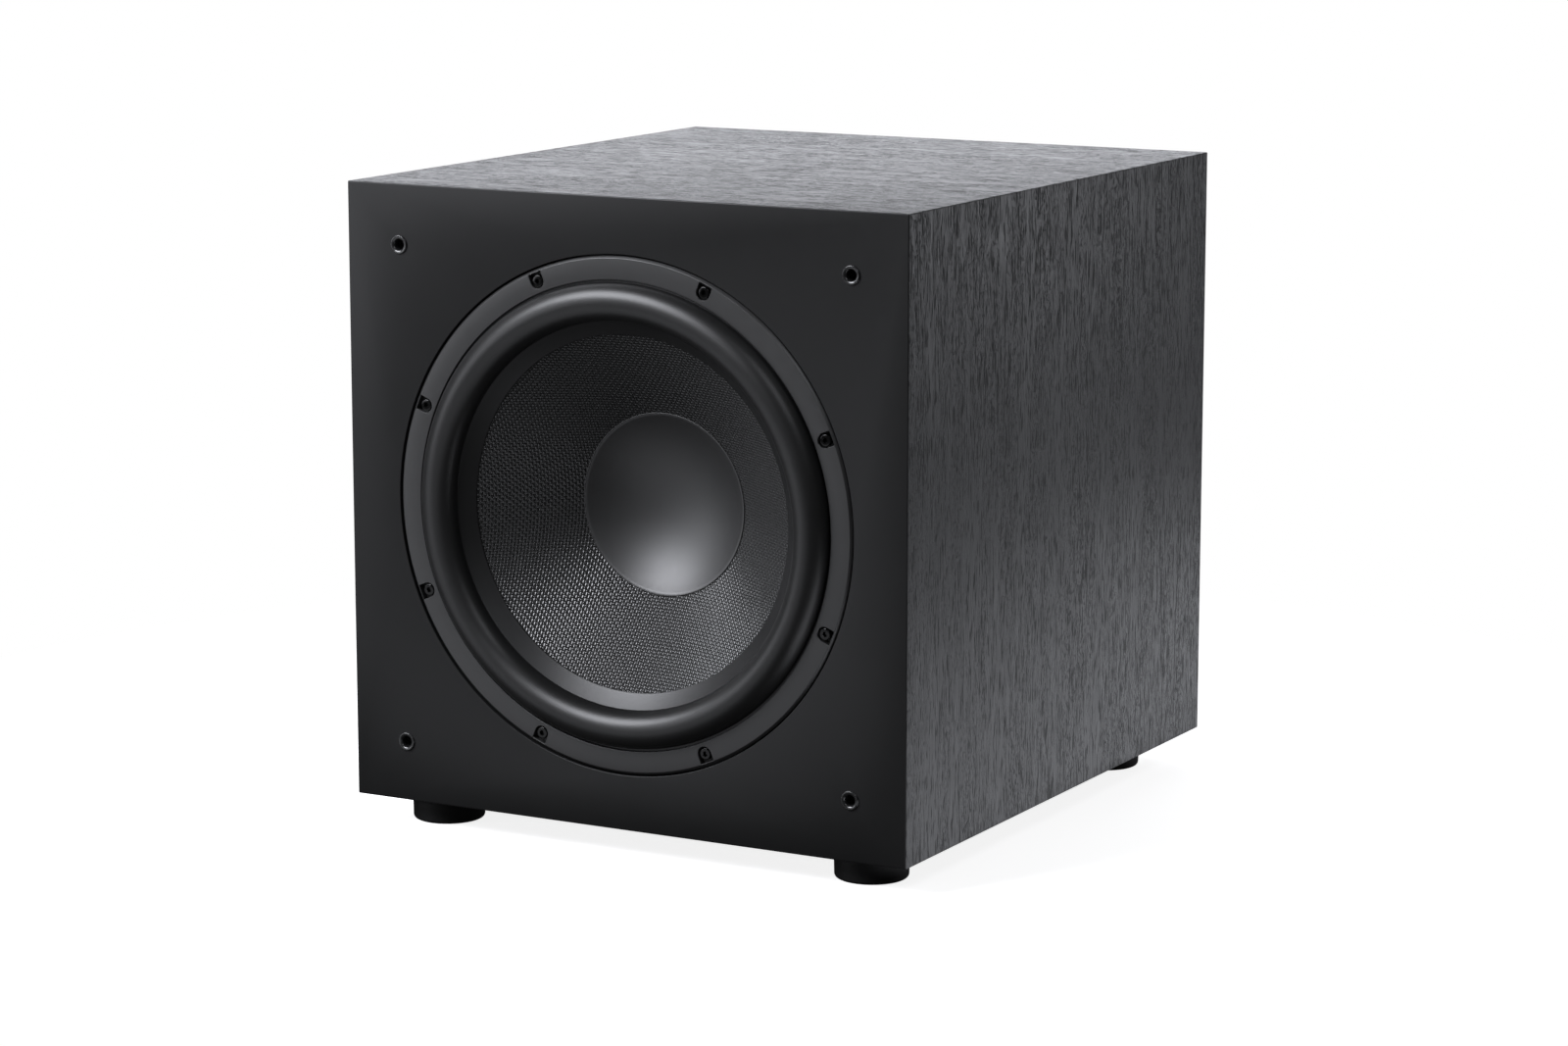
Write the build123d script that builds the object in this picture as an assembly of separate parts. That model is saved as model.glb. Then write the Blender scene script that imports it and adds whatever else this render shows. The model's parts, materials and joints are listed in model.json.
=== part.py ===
from build123d import *
from math import pi, radians, sin, sqrt, tan
import os

# Active subwoofer: a sealed veneered box on four feet, a 12-inch driver in front and a plate
# amplifier behind. Millimetres. The frame stands on the floor under the middle of the whole
# object: +X to the right as seen from the front, +Y towards the back, +Z up.
# "Depth" is always measured back from the front face of the baffle.

# Cabinet
CABINET_WIDTH = 384.0
CABINET_HEIGHT = 382.0
CABINET_DEPTH = 420.0
PANEL = 18.0                 # side, top, bottom and rear boards
BAFFLE = 25.0                # front board
FRONT_PROUD = 9.5            # crest of the surround, ahead of the baffle
REAR_PROUD = 18.0            # knobs, behind the rear panel
CLEARANCE = 0.05             # all round, between a piece and the hole it sits in

# Feet
FOOT_HEIGHT = 18.0
FOOT_RADIUS = 22.7
FOOT_EDGE = 2.5
FOOT_SIDE_INSET = 42.5
FOOT_FRONT_INSET = 38.0
FOOT_REAR_INSET = 55.0
FOOT_POCKET_RADIUS = 8.0
FOOT_POCKET_DEPTH = 9.0
FOOT_SCREW_RADIUS = 2.5
FOOT_SCREW_HEAD = 5.5
FOOT_SCREW_HEAD_HEIGHT = 3.2
FOOT_SCREW_LENGTH = 22.0

# Grille sockets
SOCKET_SPACING_X = 310.0
SOCKET_SPACING_Z = 308.0
SOCKET_FLANGE_RADIUS = 5.9
SOCKET_FLANGE_PROUD = 1.0
SOCKET_BARREL_RADIUS = 4.6
SOCKET_LENGTH = 14.0
SOCKET_BORE_RADIUS = 3.15
SOCKET_BORE_END = 11.0
SOCKET_FUNNEL = 2.2

# Driver, front
CUTOUT_RADIUS = 141.0
REBATE_RADIUS = 157.0
RING_OUTER = 156.0
RING_INNER = 141.8
RING_CHAMFER = 1.5
FLANGE_DEPTH = 4.0           # front face of the frame's flange
FLANGE_THICKNESS = 4.0
FLANGE_RADIUS = 155.5
GASKET_THICKNESS = 1.5
GASKET_INNER = 142.5
REBATE_DEPTH = FLANGE_DEPTH + FLANGE_THICKNESS + GASKET_THICKNESS
SCREW_COUNT = 8
SCREW_CIRCLE = 149.0         # radius of the circle of driver screws
SCREW_HEAD_RADIUS = 3.6
SCREW_HEAD_HEIGHT = 3.2
SCREW_SHANK_RADIUS = 2.2
SCREW_END = 24.0
SCREW_KEY = 3.0              # across the flats of the hexagon socket
NOTCH_RADIUS = 4.5
NOTCH_RIM = 0.3              # left between a notch and the edge of the chamfer

# Surround
ROLL_RADIUS = 11.5
ROLL_CENTRE = 128.9
ROLL_BASE = 2.0
RUBBER = 1.6
LAND_OUTER = 144.2
GLUE_INNER = 108.2           # inner edge of the land that is glued to the cone
GLUE_INNER_DEPTH = 10.0

# Cone and dust cap
CONE_OUTER = 118.0
CONE_ANGLE = 37.2            # of the cone's wall to the baffle, degrees
CONE_THICKNESS = 1.4
CAP_RADIUS = 55.5
CAP_RIM_DEPTH = 50.0
CAP_DISH = 19.0              # how far the middle lies behind the rim
CAP_THICKNESS = 0.7
CAP_LIP = 0.7
CAP_LIP_INNER = 54.0

# Voice coil and spider
FORMER_RADIUS = 25.4
FORMER_THICKNESS = 0.35
FORMER_FRONT = 72.0
COIL_THICKNESS = 0.95
COIL_LENGTH = 30.0
SPIDER_DEPTH = 85.0          # rear face of the spider's flat rim
SPIDER_THICKNESS = 0.8
SPIDER_WAVES = 5
SPIDER_WAVE_HEIGHT = 2.4
SPIDER_WAVES_INNER = 30.0
SPIDER_WAVES_OUTER = 64.0
SPIDER_OUTER = 74.0

# Driver frame
FRAME_WALL = 3.0
FRAME_MOUTH = 140.0
FRAME_MOUTH_END = 20.0
FRAME_WAIST = 80.0
FRAME_LEDGE_INNER = 66.0
FRAME_CUP_OUTER = 70.0
FRAME_FLOOR_INNER = 46.0
FRAME_SHEET = 4.0
FRAME_FLOOR_DEPTH = 104.0
SPOKE_WIDTH = 16.0
SPOKE_COUNT = 8
WINDOW_INNER = 84.0
WINDOW_OUTER = 132.0

# Motor
TOP_PLATE_DEPTH = FRAME_FLOOR_DEPTH + FRAME_SHEET
TOP_PLATE_THICKNESS = 10.0
TOP_PLATE_RADIUS = 70.0
GAP_OUTER = 27.1
POLE_RADIUS = 25.0
POLE_VENT = 10.0
MAGNET_RADIUS = 75.0
MAGNET_BORE = 35.0
MAGNET_THICKNESS = 30.0
BACK_PLATE_THICKNESS = 10.0
BACK_PLATE_EDGE = 3.0
VENT_FLARE = 4.0

# Terminals on the frame
TERMINAL_SPACING = 16.0
TAB_WIDTH = 6.3
TAB_THICKNESS = 0.8
TAB_DEPTH = SPIDER_DEPTH + 11.0
TAB_END = 90.0
BOARD_FACE = FRAME_CUP_OUTER + 3.0
BOARD_DEPTHS = (SPIDER_DEPTH + FRAME_SHEET + 1.0, SPIDER_DEPTH + FRAME_SHEET + 14.0)
BOARD_HALF = 15.0

# Leads. Each route is (x, depth, height above the middle); the second number of a pair in the
# height is how far the upper lead of two goes above it and the lower one below it.
TINSEL_RADIUS = 0.9
TINSEL_ROUTE = (
    (84, TAB_DEPTH - 0.05, (0, 8)),
    (84, 85, (0, 8)),
    (91, 74, (0, 10)),
    (88, 62, (0, 10)),
    (76, 54.5, (0, 9)),
    (62, 51.5, (0, 8)),
)
LEAD_RADIUS = 1.5
LEAD_ROUTE = (
    (TAB_END + CLEARANCE, TAB_DEPTH + TAB_THICKNESS / 2, (0, 8)),
    (106, TAB_DEPTH + TAB_THICKNESS / 2, (0, 8)),
    (123, TAB_DEPTH + TAB_THICKNESS / 2 + 15, (16, 4.5)),
    (131, TAB_DEPTH + TAB_THICKNESS / 2 + 46, (38, 4.5)),
    (127, 184, (54, 4.5)),
    (112, 226, (57, 4.5)),
    (92, 266, (52, 4.5)),
    (76, 304, (47, 4.5)),
    (69, 336, (45, 4.5)),
    (64, 362, (44, 4.5)),
    (60, 386, (40, 4.5)),
)

# Brace and lining
BRACE_DEPTH = 200.0
BRACE_BAR = 24.0
BRACE_CORNER = 15.0
WADDING = 20.0
WADDING_DEPTHS = (BAFFLE + 12.0, BRACE_DEPTH - 6.0)
WADDING_ENDS = 10.0          # left bare at the ends of each pad
WADDING_GAP = 4.0            # between the side pads and the top one

# Amplifier plate. Places on it are (x, height above the cabinet's middle).
AMP_WIDTH = 236.0
AMP_HEIGHT = 296.0
AMP_THICKNESS = 3.0
AMP_GASKET = 1.0
AMP_CORNER = 6.0
AMP_CUTOUT_WIDTH = 204.0
AMP_CUTOUT_HEIGHT = 264.0
HOUSING_WIDTH = 200.0
HOUSING_HEIGHT = 260.0
HOUSING_DEPTH = 91.0
HOUSING_WALL = 2.0
AMP_SCREW_X = 110.0
AMP_SCREW_ROWS = (-140.0, -70.0, 0.0, 70.0, 140.0)
AMP_SCREW_RADIUS = 1.9
AMP_SCREW_HEAD = 3.6
AMP_SCREW_HEAD_HEIGHT = 2.2
AMP_SCREW_LENGTH = 15.0
VOLUME_AT = (55.0, 100.0)
CROSSOVER_AT = (0.0, 100.0)
PHASE_AT = (55.0, 58.0)
POWER_AT = (0.0, 58.0)
LAMP_AT = (88.0, 100.0)
JACKS_AT = ((-80.0, 100.0), (-56.0, 100.0))
ROCKER_AT = (60.0, -40.0)
INLET_AT = (60.0, -98.0)
TRANSFORMER_AT = (-45.0, -72.0)
LEAD_HOLE_AT = (70.0, 45.0)
LEAD_HOLE_RADIUS = 8.0

# Heat sink
SINK_X = (-95.0, 22.0)
SINK_Z = (-58.0, 32.0)
SINK_BASE = 3.0
SINK_FIN_HEIGHT = 11.0
SINK_FIN_WIDTH = 2.0
SINK_FINS = 12

# Circuit board
BOARD_X = 88.0
BOARD_Z = (-20.0, 125.0)
BOARD_THICKNESS = 1.6
BOARD_CORNER = 3.0
STANDOFF_LENGTH = 12.0
STANDOFF_RADIUS = 3.0
STANDOFF_BORE = 1.5
STANDOFFS_AT = ((-82.0, -14.0), (82.0, -14.0), (-82.0, 119.0), (82.0, 119.0))
CAPACITOR_RADIUS = 12.5
CAPACITOR_LENGTH = 35.0
CAPACITORS_AT = ((-48.0, 10.0), (-16.0, 10.0))
TRANSFORMER_RADIUS = 40.0
TRANSFORMER_BORE = 12.0
TRANSFORMER_LENGTH = 36.0
TRANSFORMER_ROUND = 8.0
TRANSFORMER_BOLT = 3.0
WASHER_INSET = 12.0          # of the dished washer's edge from the winding's
WASHER_THICKNESS = 2.0
NUT_RADIUS = 5.4
NUT_HEIGHT = 5.0
BOLT_HEAD_HEIGHT = 3.0

# Knobs, their shafts and potentiometers
KNOB_RADIUS = 11.0
KNOB_GAP = 0.8
KNOB_FLUTES = 24
KNOB_FLUTE_RADIUS = 0.7
KNOB_EDGE = 1.0
KNOB_POINTER_WIDTH = 1.4
KNOB_POINTER_DEPTH = 0.8
KNOB_ROOF = 2.0              # of solid knob behind the end of the shaft's hole
SHAFT_RADIUS = 3.0
SHAFT_INSIDE = 9.0           # how far the shaft reaches inside the plate
SHAFT_TOP = 2.5              # from the end of the shaft to the knob's face
SHAFT_FIT = 0.06             # running clearance of the shaft in its bushing
POT_SIDE = 16.0
BUSHING_RADIUS = 4.5
BUSHING_PROUD = 0.4

# Slide switches
SLIDER_SIDE = 4.0
SLIDER_TRAVEL = 4.0
SLIDER_GAP = 0.2
SLIDER_PROUD = 3.0
SLIDER_INSIDE = 5.0          # how far a slider reaches inside the plate
SLIDER_UNDER = 0.4           # free under a slider, in its switch
SLIDER_GROOVES = (-1.2, 0, 1.2)
SLIDER_GROOVE_DEPTH = 0.6
SLIDER_GROOVE_HALF = 0.25
SWITCH_BODY = (16.0, 8.0, 7.0)

# Mains rocker
ROCKER_TILT = 7.0            # each way from level, degrees
ROCKER_WIDTH = 9.7
ROCKER_HALF_LENGTH = 7.2
ROCKER_BELOW = 3.0           # of the button in front of its pivot
ROCKER_ABOVE = 5.2           # and behind it, at its two ends
ROCKER_DIP = 4.2             # and in its middle
ROCKER_PIN = 1.2
ROCKER_PIN_LENGTH = 0.9
ROCKER_BEZEL = (16.0, 22.0, 2.0)
ROCKER_BODY = (13.0, 19.0, 16.0)
ROCKER_WELL = (10.0, 16.0, 9.6)

# Mains inlet with its fuse drawer below
INLET_FLANGE = (30.0, 40.0, 2.5)
INLET_BODY = (27.0, 37.0, 25.0)
INLET_WELL = (24.0, 16.5, 17.0)
INLET_WELL_Z = 7.0           # middle of the well above the middle of the inlet
INLET_WELL_CHAMFER = 4.5
PIN_SIZE = (2.0, 4.0)
PIN_LENGTH = 27.0
PIN_RECESS = 2.5             # of the pins' tips behind the flange's face
PINS_AT = ((-7.0, -2.0), (0.0, 2.0), (7.0, -2.0))
DRAWER = (23.0, 7.4, 15.0)
DRAWER_Z = -12.5
DRAWER_GAP = 0.1
FUSE_RADIUS = 2.5
FUSE_LENGTH = 20.0
FUSE_DEPTH = 9.0             # of the fuse's axis below the drawer's face
DRAWER_NOTCH = (8.0, 2.4, 1.6)

# Phono jacks and the status lamp
JACK_RADIUS = 4.15
JACK_BORE = 3.3
JACK_PROUD = 9.5
JACK_NUT_RADIUS = 6.2
JACK_NUT = 2.0
JACK_INNER_LENGTH = 11.0
JACK_CONTACT_RADIUS = 1.6
JACK_INSERT_RECESS = 2.0
LAMP_RADIUS = 2.5
LAMP_INSIDE = 6.0
LAMP_PROUD = 2.0
LAMP_DOME = 1.8

# Places that follow from the sizes
Y_BAFFLE = FRONT_PROUD - (FRONT_PROUD + CABINET_DEPTH + REAR_PROUD) / 2
Z_MIDDLE = FOOT_HEIGHT + CABINET_HEIGHT / 2
HALF_WIDTH = CABINET_WIDTH / 2
Z_TOP = FOOT_HEIGHT + CABINET_HEIGHT
OUTER = ((-HALF_WIDTH, Y_BAFFLE, FOOT_HEIGHT), (HALF_WIDTH, Y_BAFFLE + CABINET_DEPTH, Z_TOP))
INNER = (
    (-HALF_WIDTH + PANEL, Y_BAFFLE + BAFFLE, FOOT_HEIGHT + PANEL),
    (HALF_WIDTH - PANEL, Y_BAFFLE + CABINET_DEPTH - PANEL, Z_TOP - PANEL),
)
AMP_INSIDE = CABINET_DEPTH + AMP_GASKET      # depth of the amplifier plate's inner face
AMP_FACE = AMP_INSIDE + AMP_THICKNESS        # and of its outer face
REAR_END = CABINET_DEPTH + REAR_PROUD
POLE_END = TOP_PLATE_DEPTH + TOP_PLATE_THICKNESS + MAGNET_THICKNESS
COIL_MIDDLE = TOP_PLATE_DEPTH + TOP_PLATE_THICKNESS / 2
FORMER_OUTER = FORMER_RADIUS + FORMER_THICKNESS
AXIS = Axis((0, Y_BAFFLE, Z_MIDDLE), (0, 1, 0))


# ------------------------------------------------------------------ shapes used throughout
def block(x, depth, z):
    """A box between two values of x, of depth and of height above the cabinet's middle."""
    size = [b - a for a, b in (x, depth, z)]
    middle = [(a + b) / 2 for a, b in (x, depth, z)]
    return Pos(middle[0], Y_BAFFLE + middle[1], Z_MIDDLE + middle[2]) * Box(*size)


def centred_block(at, width, height, front, back):
    x, z = at
    return block((x - width / 2, x + width / 2), (front, back), (z - height / 2, z + height / 2))


def rod(at, radius, front, back):
    """A round bar along Y, through (x, height above the middle), between two depths."""
    x, z = at
    place = Pos(x, Y_BAFFLE + (front + back) / 2, Z_MIDDLE + z)
    return place * Rot(90, 0, 0) * Cylinder(radius, back - front)


def tube(at, radius, bore, front, back):
    return rod(at, radius, front, back) - rod(at, bore, front, back)


def turned(*edges):
    """A closed outline of edges in (radius, depth), turned about the driver's axis."""
    outline = Pos(0, Y_BAFFLE, Z_MIDDLE) * make_face(edges)
    return revolve(outline, axis=AXIS)


def chain(*points):
    """Straight edges from point to point."""
    return [Line(a, b) for a, b in zip(points, points[1:])]


def ring(inner, outer, front, back):
    corners = (inner, front), (outer, front), (outer, back), (inner, back), (inner, front)
    return turned(*chain(*corners))


def around_axis(shape, count, first_angle):
    """Copies of a shape, evenly spaced about the driver's axis."""
    middle = Pos(0, 0, Z_MIDDLE)
    turns = [first_angle + 360 / count * i for i in range(count)]
    return [middle * Rot(0, -turn, 0) * middle.inverse() * shape for turn in turns]


def cut_each(shape, tools):
    for tool in tools:
        shape = shape - tool
    return shape


def screw(at, seat, head_radius, head_height, shank_radius, length, facing):
    """A round-headed screw whose head sits on a face. Facing is 1 with the head at the back."""
    head = sorted((seat, seat + facing * head_height))
    shank = sorted((seat, seat - facing * length))
    key = sorted((seat + facing * head_height, seat + facing * head_height * 0.4))
    body = rod(at, head_radius, *head) + rod(at, shank_radius, *shank)
    return body - rod(at, head_radius * 0.42, *key)


def lead(route, side, radius):
    """One wire of a pair, along straight runs joined by arcs as large as their runs allow."""
    points = [Vector(x, Y_BAFFLE + depth, Z_MIDDLE + z + side * apart) for x, depth, (z, apart) in route]
    runs = [b - a for a, b in zip(points, points[1:])]
    radii = []
    for before, after in zip(runs, runs[1:]):
        shorter = min(before.length, after.length)
        radii.append(0.45 * shorter / tan(radians(before.get_angle(after)) / 2))
    path = FilletPolyline(*points, radius=radii)
    section = Plane(origin=points[0], z_dir=runs[0]) * Circle(radius)
    return sweep(section, path=path)


# ------------------------------------------------------------------ cabinet
def section(box, axis, level):
    """The rectangle in which a plane square to one axis cuts a box."""
    low, high = box
    u, v = [i for i in range(3) if i != axis]
    corners = []
    for a, b in ((low[u], low[v]), (high[u], low[v]), (high[u], high[v]), (low[u], high[v])):
        corner = [level] * 3
        corner[u] = a
        corner[v] = b
        corners.append(tuple(corner))
    return Face(Wire.make_polygon(corners, close=True))


def mitred_panel(axis, side):
    """One board of the box, mitred on all four edges where it meets its neighbours."""
    outer_face = section(OUTER, axis, OUTER[side][axis])
    inner_face = section(INNER, axis, INNER[side][axis])
    return loft([outer_face, inner_face], ruled=True)


def socket_places():
    return [(sx * SOCKET_SPACING_X / 2, sz * SOCKET_SPACING_Z / 2) for sx in (-1, 1) for sz in (-1, 1)]


def baffle():
    board = mitred_panel(1, 0)
    board -= rod((0, 0), REBATE_RADIUS, 0, REBATE_DEPTH)
    board -= rod((0, 0), CUTOUT_RADIUS, 0, BAFFLE)
    pilot = rod((SCREW_CIRCLE, 0), SCREW_SHANK_RADIUS + CLEARANCE, REBATE_DEPTH, BAFFLE)
    board = cut_each(board, around_axis(pilot, SCREW_COUNT, 22.5))
    holes = [rod(at, SOCKET_BARREL_RADIUS + CLEARANCE, 0, SOCKET_LENGTH + 1) for at in socket_places()]
    return cut_each(board, holes)


def foot_places():
    front = FOOT_FRONT_INSET
    rear = CABINET_DEPTH - FOOT_REAR_INSET
    x = HALF_WIDTH - FOOT_SIDE_INSET
    return {
        "front_left": (-x, Y_BAFFLE + front),
        "front_right": (x, Y_BAFFLE + front),
        "rear_left": (-x, Y_BAFFLE + rear),
        "rear_right": (x, Y_BAFFLE + rear),
    }


def upright(x, y, radius, low, high):
    return Pos(x, y, (low + high) / 2) * Cylinder(radius, high - low)


def foot(x, y):
    body = upright(x, y, FOOT_RADIUS, 0, FOOT_HEIGHT)
    body = fillet(body.edges().group_by(Axis.Z)[0], FOOT_EDGE)
    body -= upright(x, y, FOOT_POCKET_RADIUS, 0, FOOT_POCKET_DEPTH)
    return body - upright(x, y, FOOT_SCREW_RADIUS + CLEARANCE, 0, FOOT_HEIGHT)


def foot_screw(x, y):
    seat = FOOT_POCKET_DEPTH
    head = upright(x, y, FOOT_SCREW_HEAD, seat - FOOT_SCREW_HEAD_HEIGHT, seat)
    shank = upright(x, y, FOOT_SCREW_RADIUS, seat, seat + FOOT_SCREW_LENGTH)
    key = upright(x, y, FOOT_SCREW_RADIUS, seat - FOOT_SCREW_HEAD_HEIGHT, seat - FOOT_SCREW_HEAD_HEIGHT / 2)
    return head + shank - key


def bottom_panel():
    board = mitred_panel(2, 0)
    end = FOOT_POCKET_DEPTH + FOOT_SCREW_LENGTH + 1
    radius = FOOT_SCREW_RADIUS + CLEARANCE
    return cut_each(board, [upright(x, y, radius, FOOT_HEIGHT, end) for x, y in foot_places().values()])


def rear_panel():
    inside = CABINET_DEPTH - PANEL
    board = mitred_panel(1, 1)
    board -= centred_block((0, 0), AMP_CUTOUT_WIDTH, AMP_CUTOUT_HEIGHT, inside, CABINET_DEPTH)
    depth = CABINET_DEPTH - AMP_SCREW_LENGTH
    holes = [rod(at, AMP_SCREW_RADIUS + CLEARANCE, depth, CABINET_DEPTH) for at in amp_screw_places()]
    return cut_each(board, holes)


def brace():
    half_x = HALF_WIDTH - PANEL
    half_z = CABINET_HEIGHT / 2 - PANEL
    board = block((-half_x, half_x), (BRACE_DEPTH, BRACE_DEPTH + PANEL), (-half_z, half_z))
    for sx in (-1, 1):
        for sz in (-1, 1):
            x = sorted((sx * BRACE_BAR / 2, sx * (half_x - BRACE_BAR)))
            z = sorted((sz * BRACE_BAR / 2, sz * (half_z - BRACE_BAR)))
            window = block(x, (BRACE_DEPTH, BRACE_DEPTH + PANEL), z)
            board -= fillet(window.edges().filter_by(Axis.Y), BRACE_CORNER)
    return board


def wadding():
    """Pads on both sides and the top, between the baffle and the brace."""
    half_x = HALF_WIDTH - PANEL
    half_z = CABINET_HEIGHT / 2 - PANEL
    side = (half_x - WADDING, half_x)
    upright_span = (-half_z + WADDING_ENDS, half_z - WADDING - WADDING_GAP)
    top_span = (-half_x + WADDING_ENDS, half_x - WADDING_ENDS)
    pads = [
        block(side, WADDING_DEPTHS, upright_span),
        block((-side[1], -side[0]), WADDING_DEPTHS, upright_span),
        block(top_span, WADDING_DEPTHS, (half_z - WADDING, half_z)),
    ]
    return Compound(children=[fillet(pad.edges(), WADDING / 4) for pad in pads])


def grille_socket(at):
    """A plastic ferrule: flange, bevelled funnel, and a blind bore for the grille's peg."""
    body = rod(at, SOCKET_FLANGE_RADIUS, -SOCKET_FLANGE_PROUD, 0)
    body = chamfer(body.edges().group_by(Axis.Y)[0], SOCKET_FLANGE_PROUD * 0.6)
    body += rod(at, SOCKET_BARREL_RADIUS, 0, SOCKET_LENGTH)
    body -= rod(at, SOCKET_BORE_RADIUS, -SOCKET_FLANGE_PROUD, SOCKET_BORE_END)
    mouth = body.edges().filter_by(GeomType.CIRCLE).group_by(Axis.Y)[0].sort_by(SortBy.RADIUS)[0]
    return chamfer(mouth, SOCKET_FUNNEL * 0.6, SOCKET_FUNNEL * 0.6)


# ------------------------------------------------------------------ driver: frame and motor
def driver_frame():
    """Cast basket: flange, conical wall with windows, spider ledge, cup and floor."""
    wall = FRAME_WALL * sqrt(2)
    line = FRAME_MOUTH + FRAME_MOUTH_END - wall
    mouth_inner = FRAME_MOUTH - 2.5
    waist_inner = FRAME_WAIST - 3.5
    cup_inner = FRAME_LEDGE_INNER
    back = FLANGE_DEPTH + FLANGE_THICKNESS
    ledge_back = SPIDER_DEPTH + FRAME_SHEET
    body = turned(*chain(
        (mouth_inner, FLANGE_DEPTH),
        (FLANGE_RADIUS, FLANGE_DEPTH),
        (FLANGE_RADIUS, back),
        (FRAME_MOUTH, back),
        (FRAME_MOUTH, FRAME_MOUTH_END),
        (FRAME_WAIST, FRAME_MOUTH + FRAME_MOUTH_END - FRAME_WAIST),
        (FRAME_WAIST, ledge_back),
        (FRAME_CUP_OUTER, ledge_back),
        (FRAME_CUP_OUTER, TOP_PLATE_DEPTH),
        (FRAME_FLOOR_INNER, TOP_PLATE_DEPTH),
        (FRAME_FLOOR_INNER, FRAME_FLOOR_DEPTH),
        (cup_inner, FRAME_FLOOR_DEPTH),
        (cup_inner, SPIDER_DEPTH),
        (waist_inner, SPIDER_DEPTH),
        (waist_inner, line - waist_inner),
        (mouth_inner, line - mouth_inner),
        (mouth_inner, FLANGE_DEPTH),
    ))
    windows = ring(WINDOW_INNER, WINDOW_OUTER, FRAME_MOUTH_END - 5, SPIDER_DEPTH)
    half = SPOKE_WIDTH / 2
    spoke = block((0, WINDOW_OUTER + 5), (FRAME_MOUTH_END - 5, SPIDER_DEPTH), (-half, half))
    windows = cut_each(windows, around_axis(spoke, SPOKE_COUNT, 22.5))
    body -= windows
    hole = rod((SCREW_CIRCLE, 0), SCREW_SHANK_RADIUS + 0.3, FLANGE_DEPTH, back)
    return cut_each(body, around_axis(hole, SCREW_COUNT, 22.5))


def trim_ring():
    """Cover ring, flush with the baffle, notched for the screws and rebated over the rubber."""
    body = turned(*chain(
        (RING_INNER, 0),
        (RING_OUTER - RING_CHAMFER, 0),
        (RING_OUTER, RING_CHAMFER),
        (RING_OUTER, FLANGE_DEPTH),
        (LAND_OUTER + 0.3, FLANGE_DEPTH),
        (LAND_OUTER + 0.3, ROLL_BASE),
        (RING_INNER, ROLL_BASE),
        (RING_INNER, 0),
    ))
    notch = rod((SCREW_CIRCLE, 0), NOTCH_RADIUS, 0, FLANGE_DEPTH)
    rim = RING_OUTER - RING_CHAMFER - NOTCH_RIM
    notch += block((SCREW_CIRCLE, rim), (0, FLANGE_DEPTH), (-NOTCH_RADIUS, NOTCH_RADIUS))
    return cut_each(body, around_axis(notch, SCREW_COUNT, 22.5))


def driver_gasket():
    front = FLANGE_DEPTH + FLANGE_THICKNESS
    body = ring(GASKET_INNER, FLANGE_RADIUS, front, REBATE_DEPTH)
    hole = rod((SCREW_CIRCLE, 0), SCREW_SHANK_RADIUS + 0.3, front, REBATE_DEPTH)
    return cut_each(body, around_axis(hole, SCREW_COUNT, 22.5))


def driver_screws():
    at = (SCREW_CIRCLE, 0)
    head_front = FLANGE_DEPTH - SCREW_HEAD_HEIGHT
    head = rod(at, SCREW_HEAD_RADIUS, head_front, FLANGE_DEPTH)
    head = fillet(head.edges().group_by(Axis.Y)[0], 0.6)
    body = head + rod(at, SCREW_SHANK_RADIUS, FLANGE_DEPTH, SCREW_END)
    key = Plane(origin=(SCREW_CIRCLE, Y_BAFFLE + head_front, Z_MIDDLE), z_dir=(0, 1, 0))
    hexagon = key * RegularPolygon(SCREW_KEY / 2, 6, major_radius=False)
    body -= extrude(hexagon, SCREW_HEAD_HEIGHT * 0.6)
    return Compound(children=around_axis(body, SCREW_COUNT, 22.5))


def top_plate():
    return ring(GAP_OUTER, TOP_PLATE_RADIUS, TOP_PLATE_DEPTH, TOP_PLATE_DEPTH + TOP_PLATE_THICKNESS)


def magnet():
    return ring(MAGNET_BORE, MAGNET_RADIUS, TOP_PLATE_DEPTH + TOP_PLATE_THICKNESS, POLE_END)


def back_plate():
    """Back plate and pole in one forging, vented through the middle."""
    back = POLE_END + BACK_PLATE_THICKNESS
    return turned(*chain(
        (POLE_VENT, TOP_PLATE_DEPTH),
        (POLE_RADIUS, TOP_PLATE_DEPTH),
        (POLE_RADIUS, POLE_END),
        (TOP_PLATE_RADIUS, POLE_END),
        (TOP_PLATE_RADIUS, back - BACK_PLATE_EDGE),
        (TOP_PLATE_RADIUS - BACK_PLATE_EDGE, back),
        (POLE_VENT + VENT_FLARE, back),
        (POLE_VENT, back - VENT_FLARE),
        (POLE_VENT, TOP_PLATE_DEPTH),
    ))


def terminal_board():
    """Insulating strip on the flank of the frame's cup."""
    board = block((FRAME_CUP_OUTER + CLEARANCE, BOARD_FACE), BOARD_DEPTHS, (-BOARD_HALF, BOARD_HALF))
    return cut_each(board, terminal_tab_blocks(CLEARANCE))


def terminal_tab_blocks(grow):
    front = TAB_DEPTH
    tabs = []
    for side in (-1, 1):
        middle = side * TERMINAL_SPACING / 2
        half = TAB_WIDTH / 2 + grow
        x = (FRAME_CUP_OUTER + 1.5 - grow, TAB_END)
        tabs.append(block(x, (front - grow, front + TAB_THICKNESS + grow), (middle - half, middle + half)))
    return tabs


def tinsel_leads():
    """Flexible leads from the tabs, out through a window of the frame, to the back of the cone."""
    leads = [lead(TINSEL_ROUTE, side, TINSEL_RADIUS) for side in (-1, 1)]
    return Compound(children=leads)


# ------------------------------------------------------------------ driver: moving parts
def cone_front(radius):
    """Depth of the cone's front surface at a radius, just under the surround's glue land."""
    return GLUE_INNER_DEPTH + 1 + CLEARANCE + (GLUE_INNER - radius) * tan(radians(CONE_ANGLE))


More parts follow.
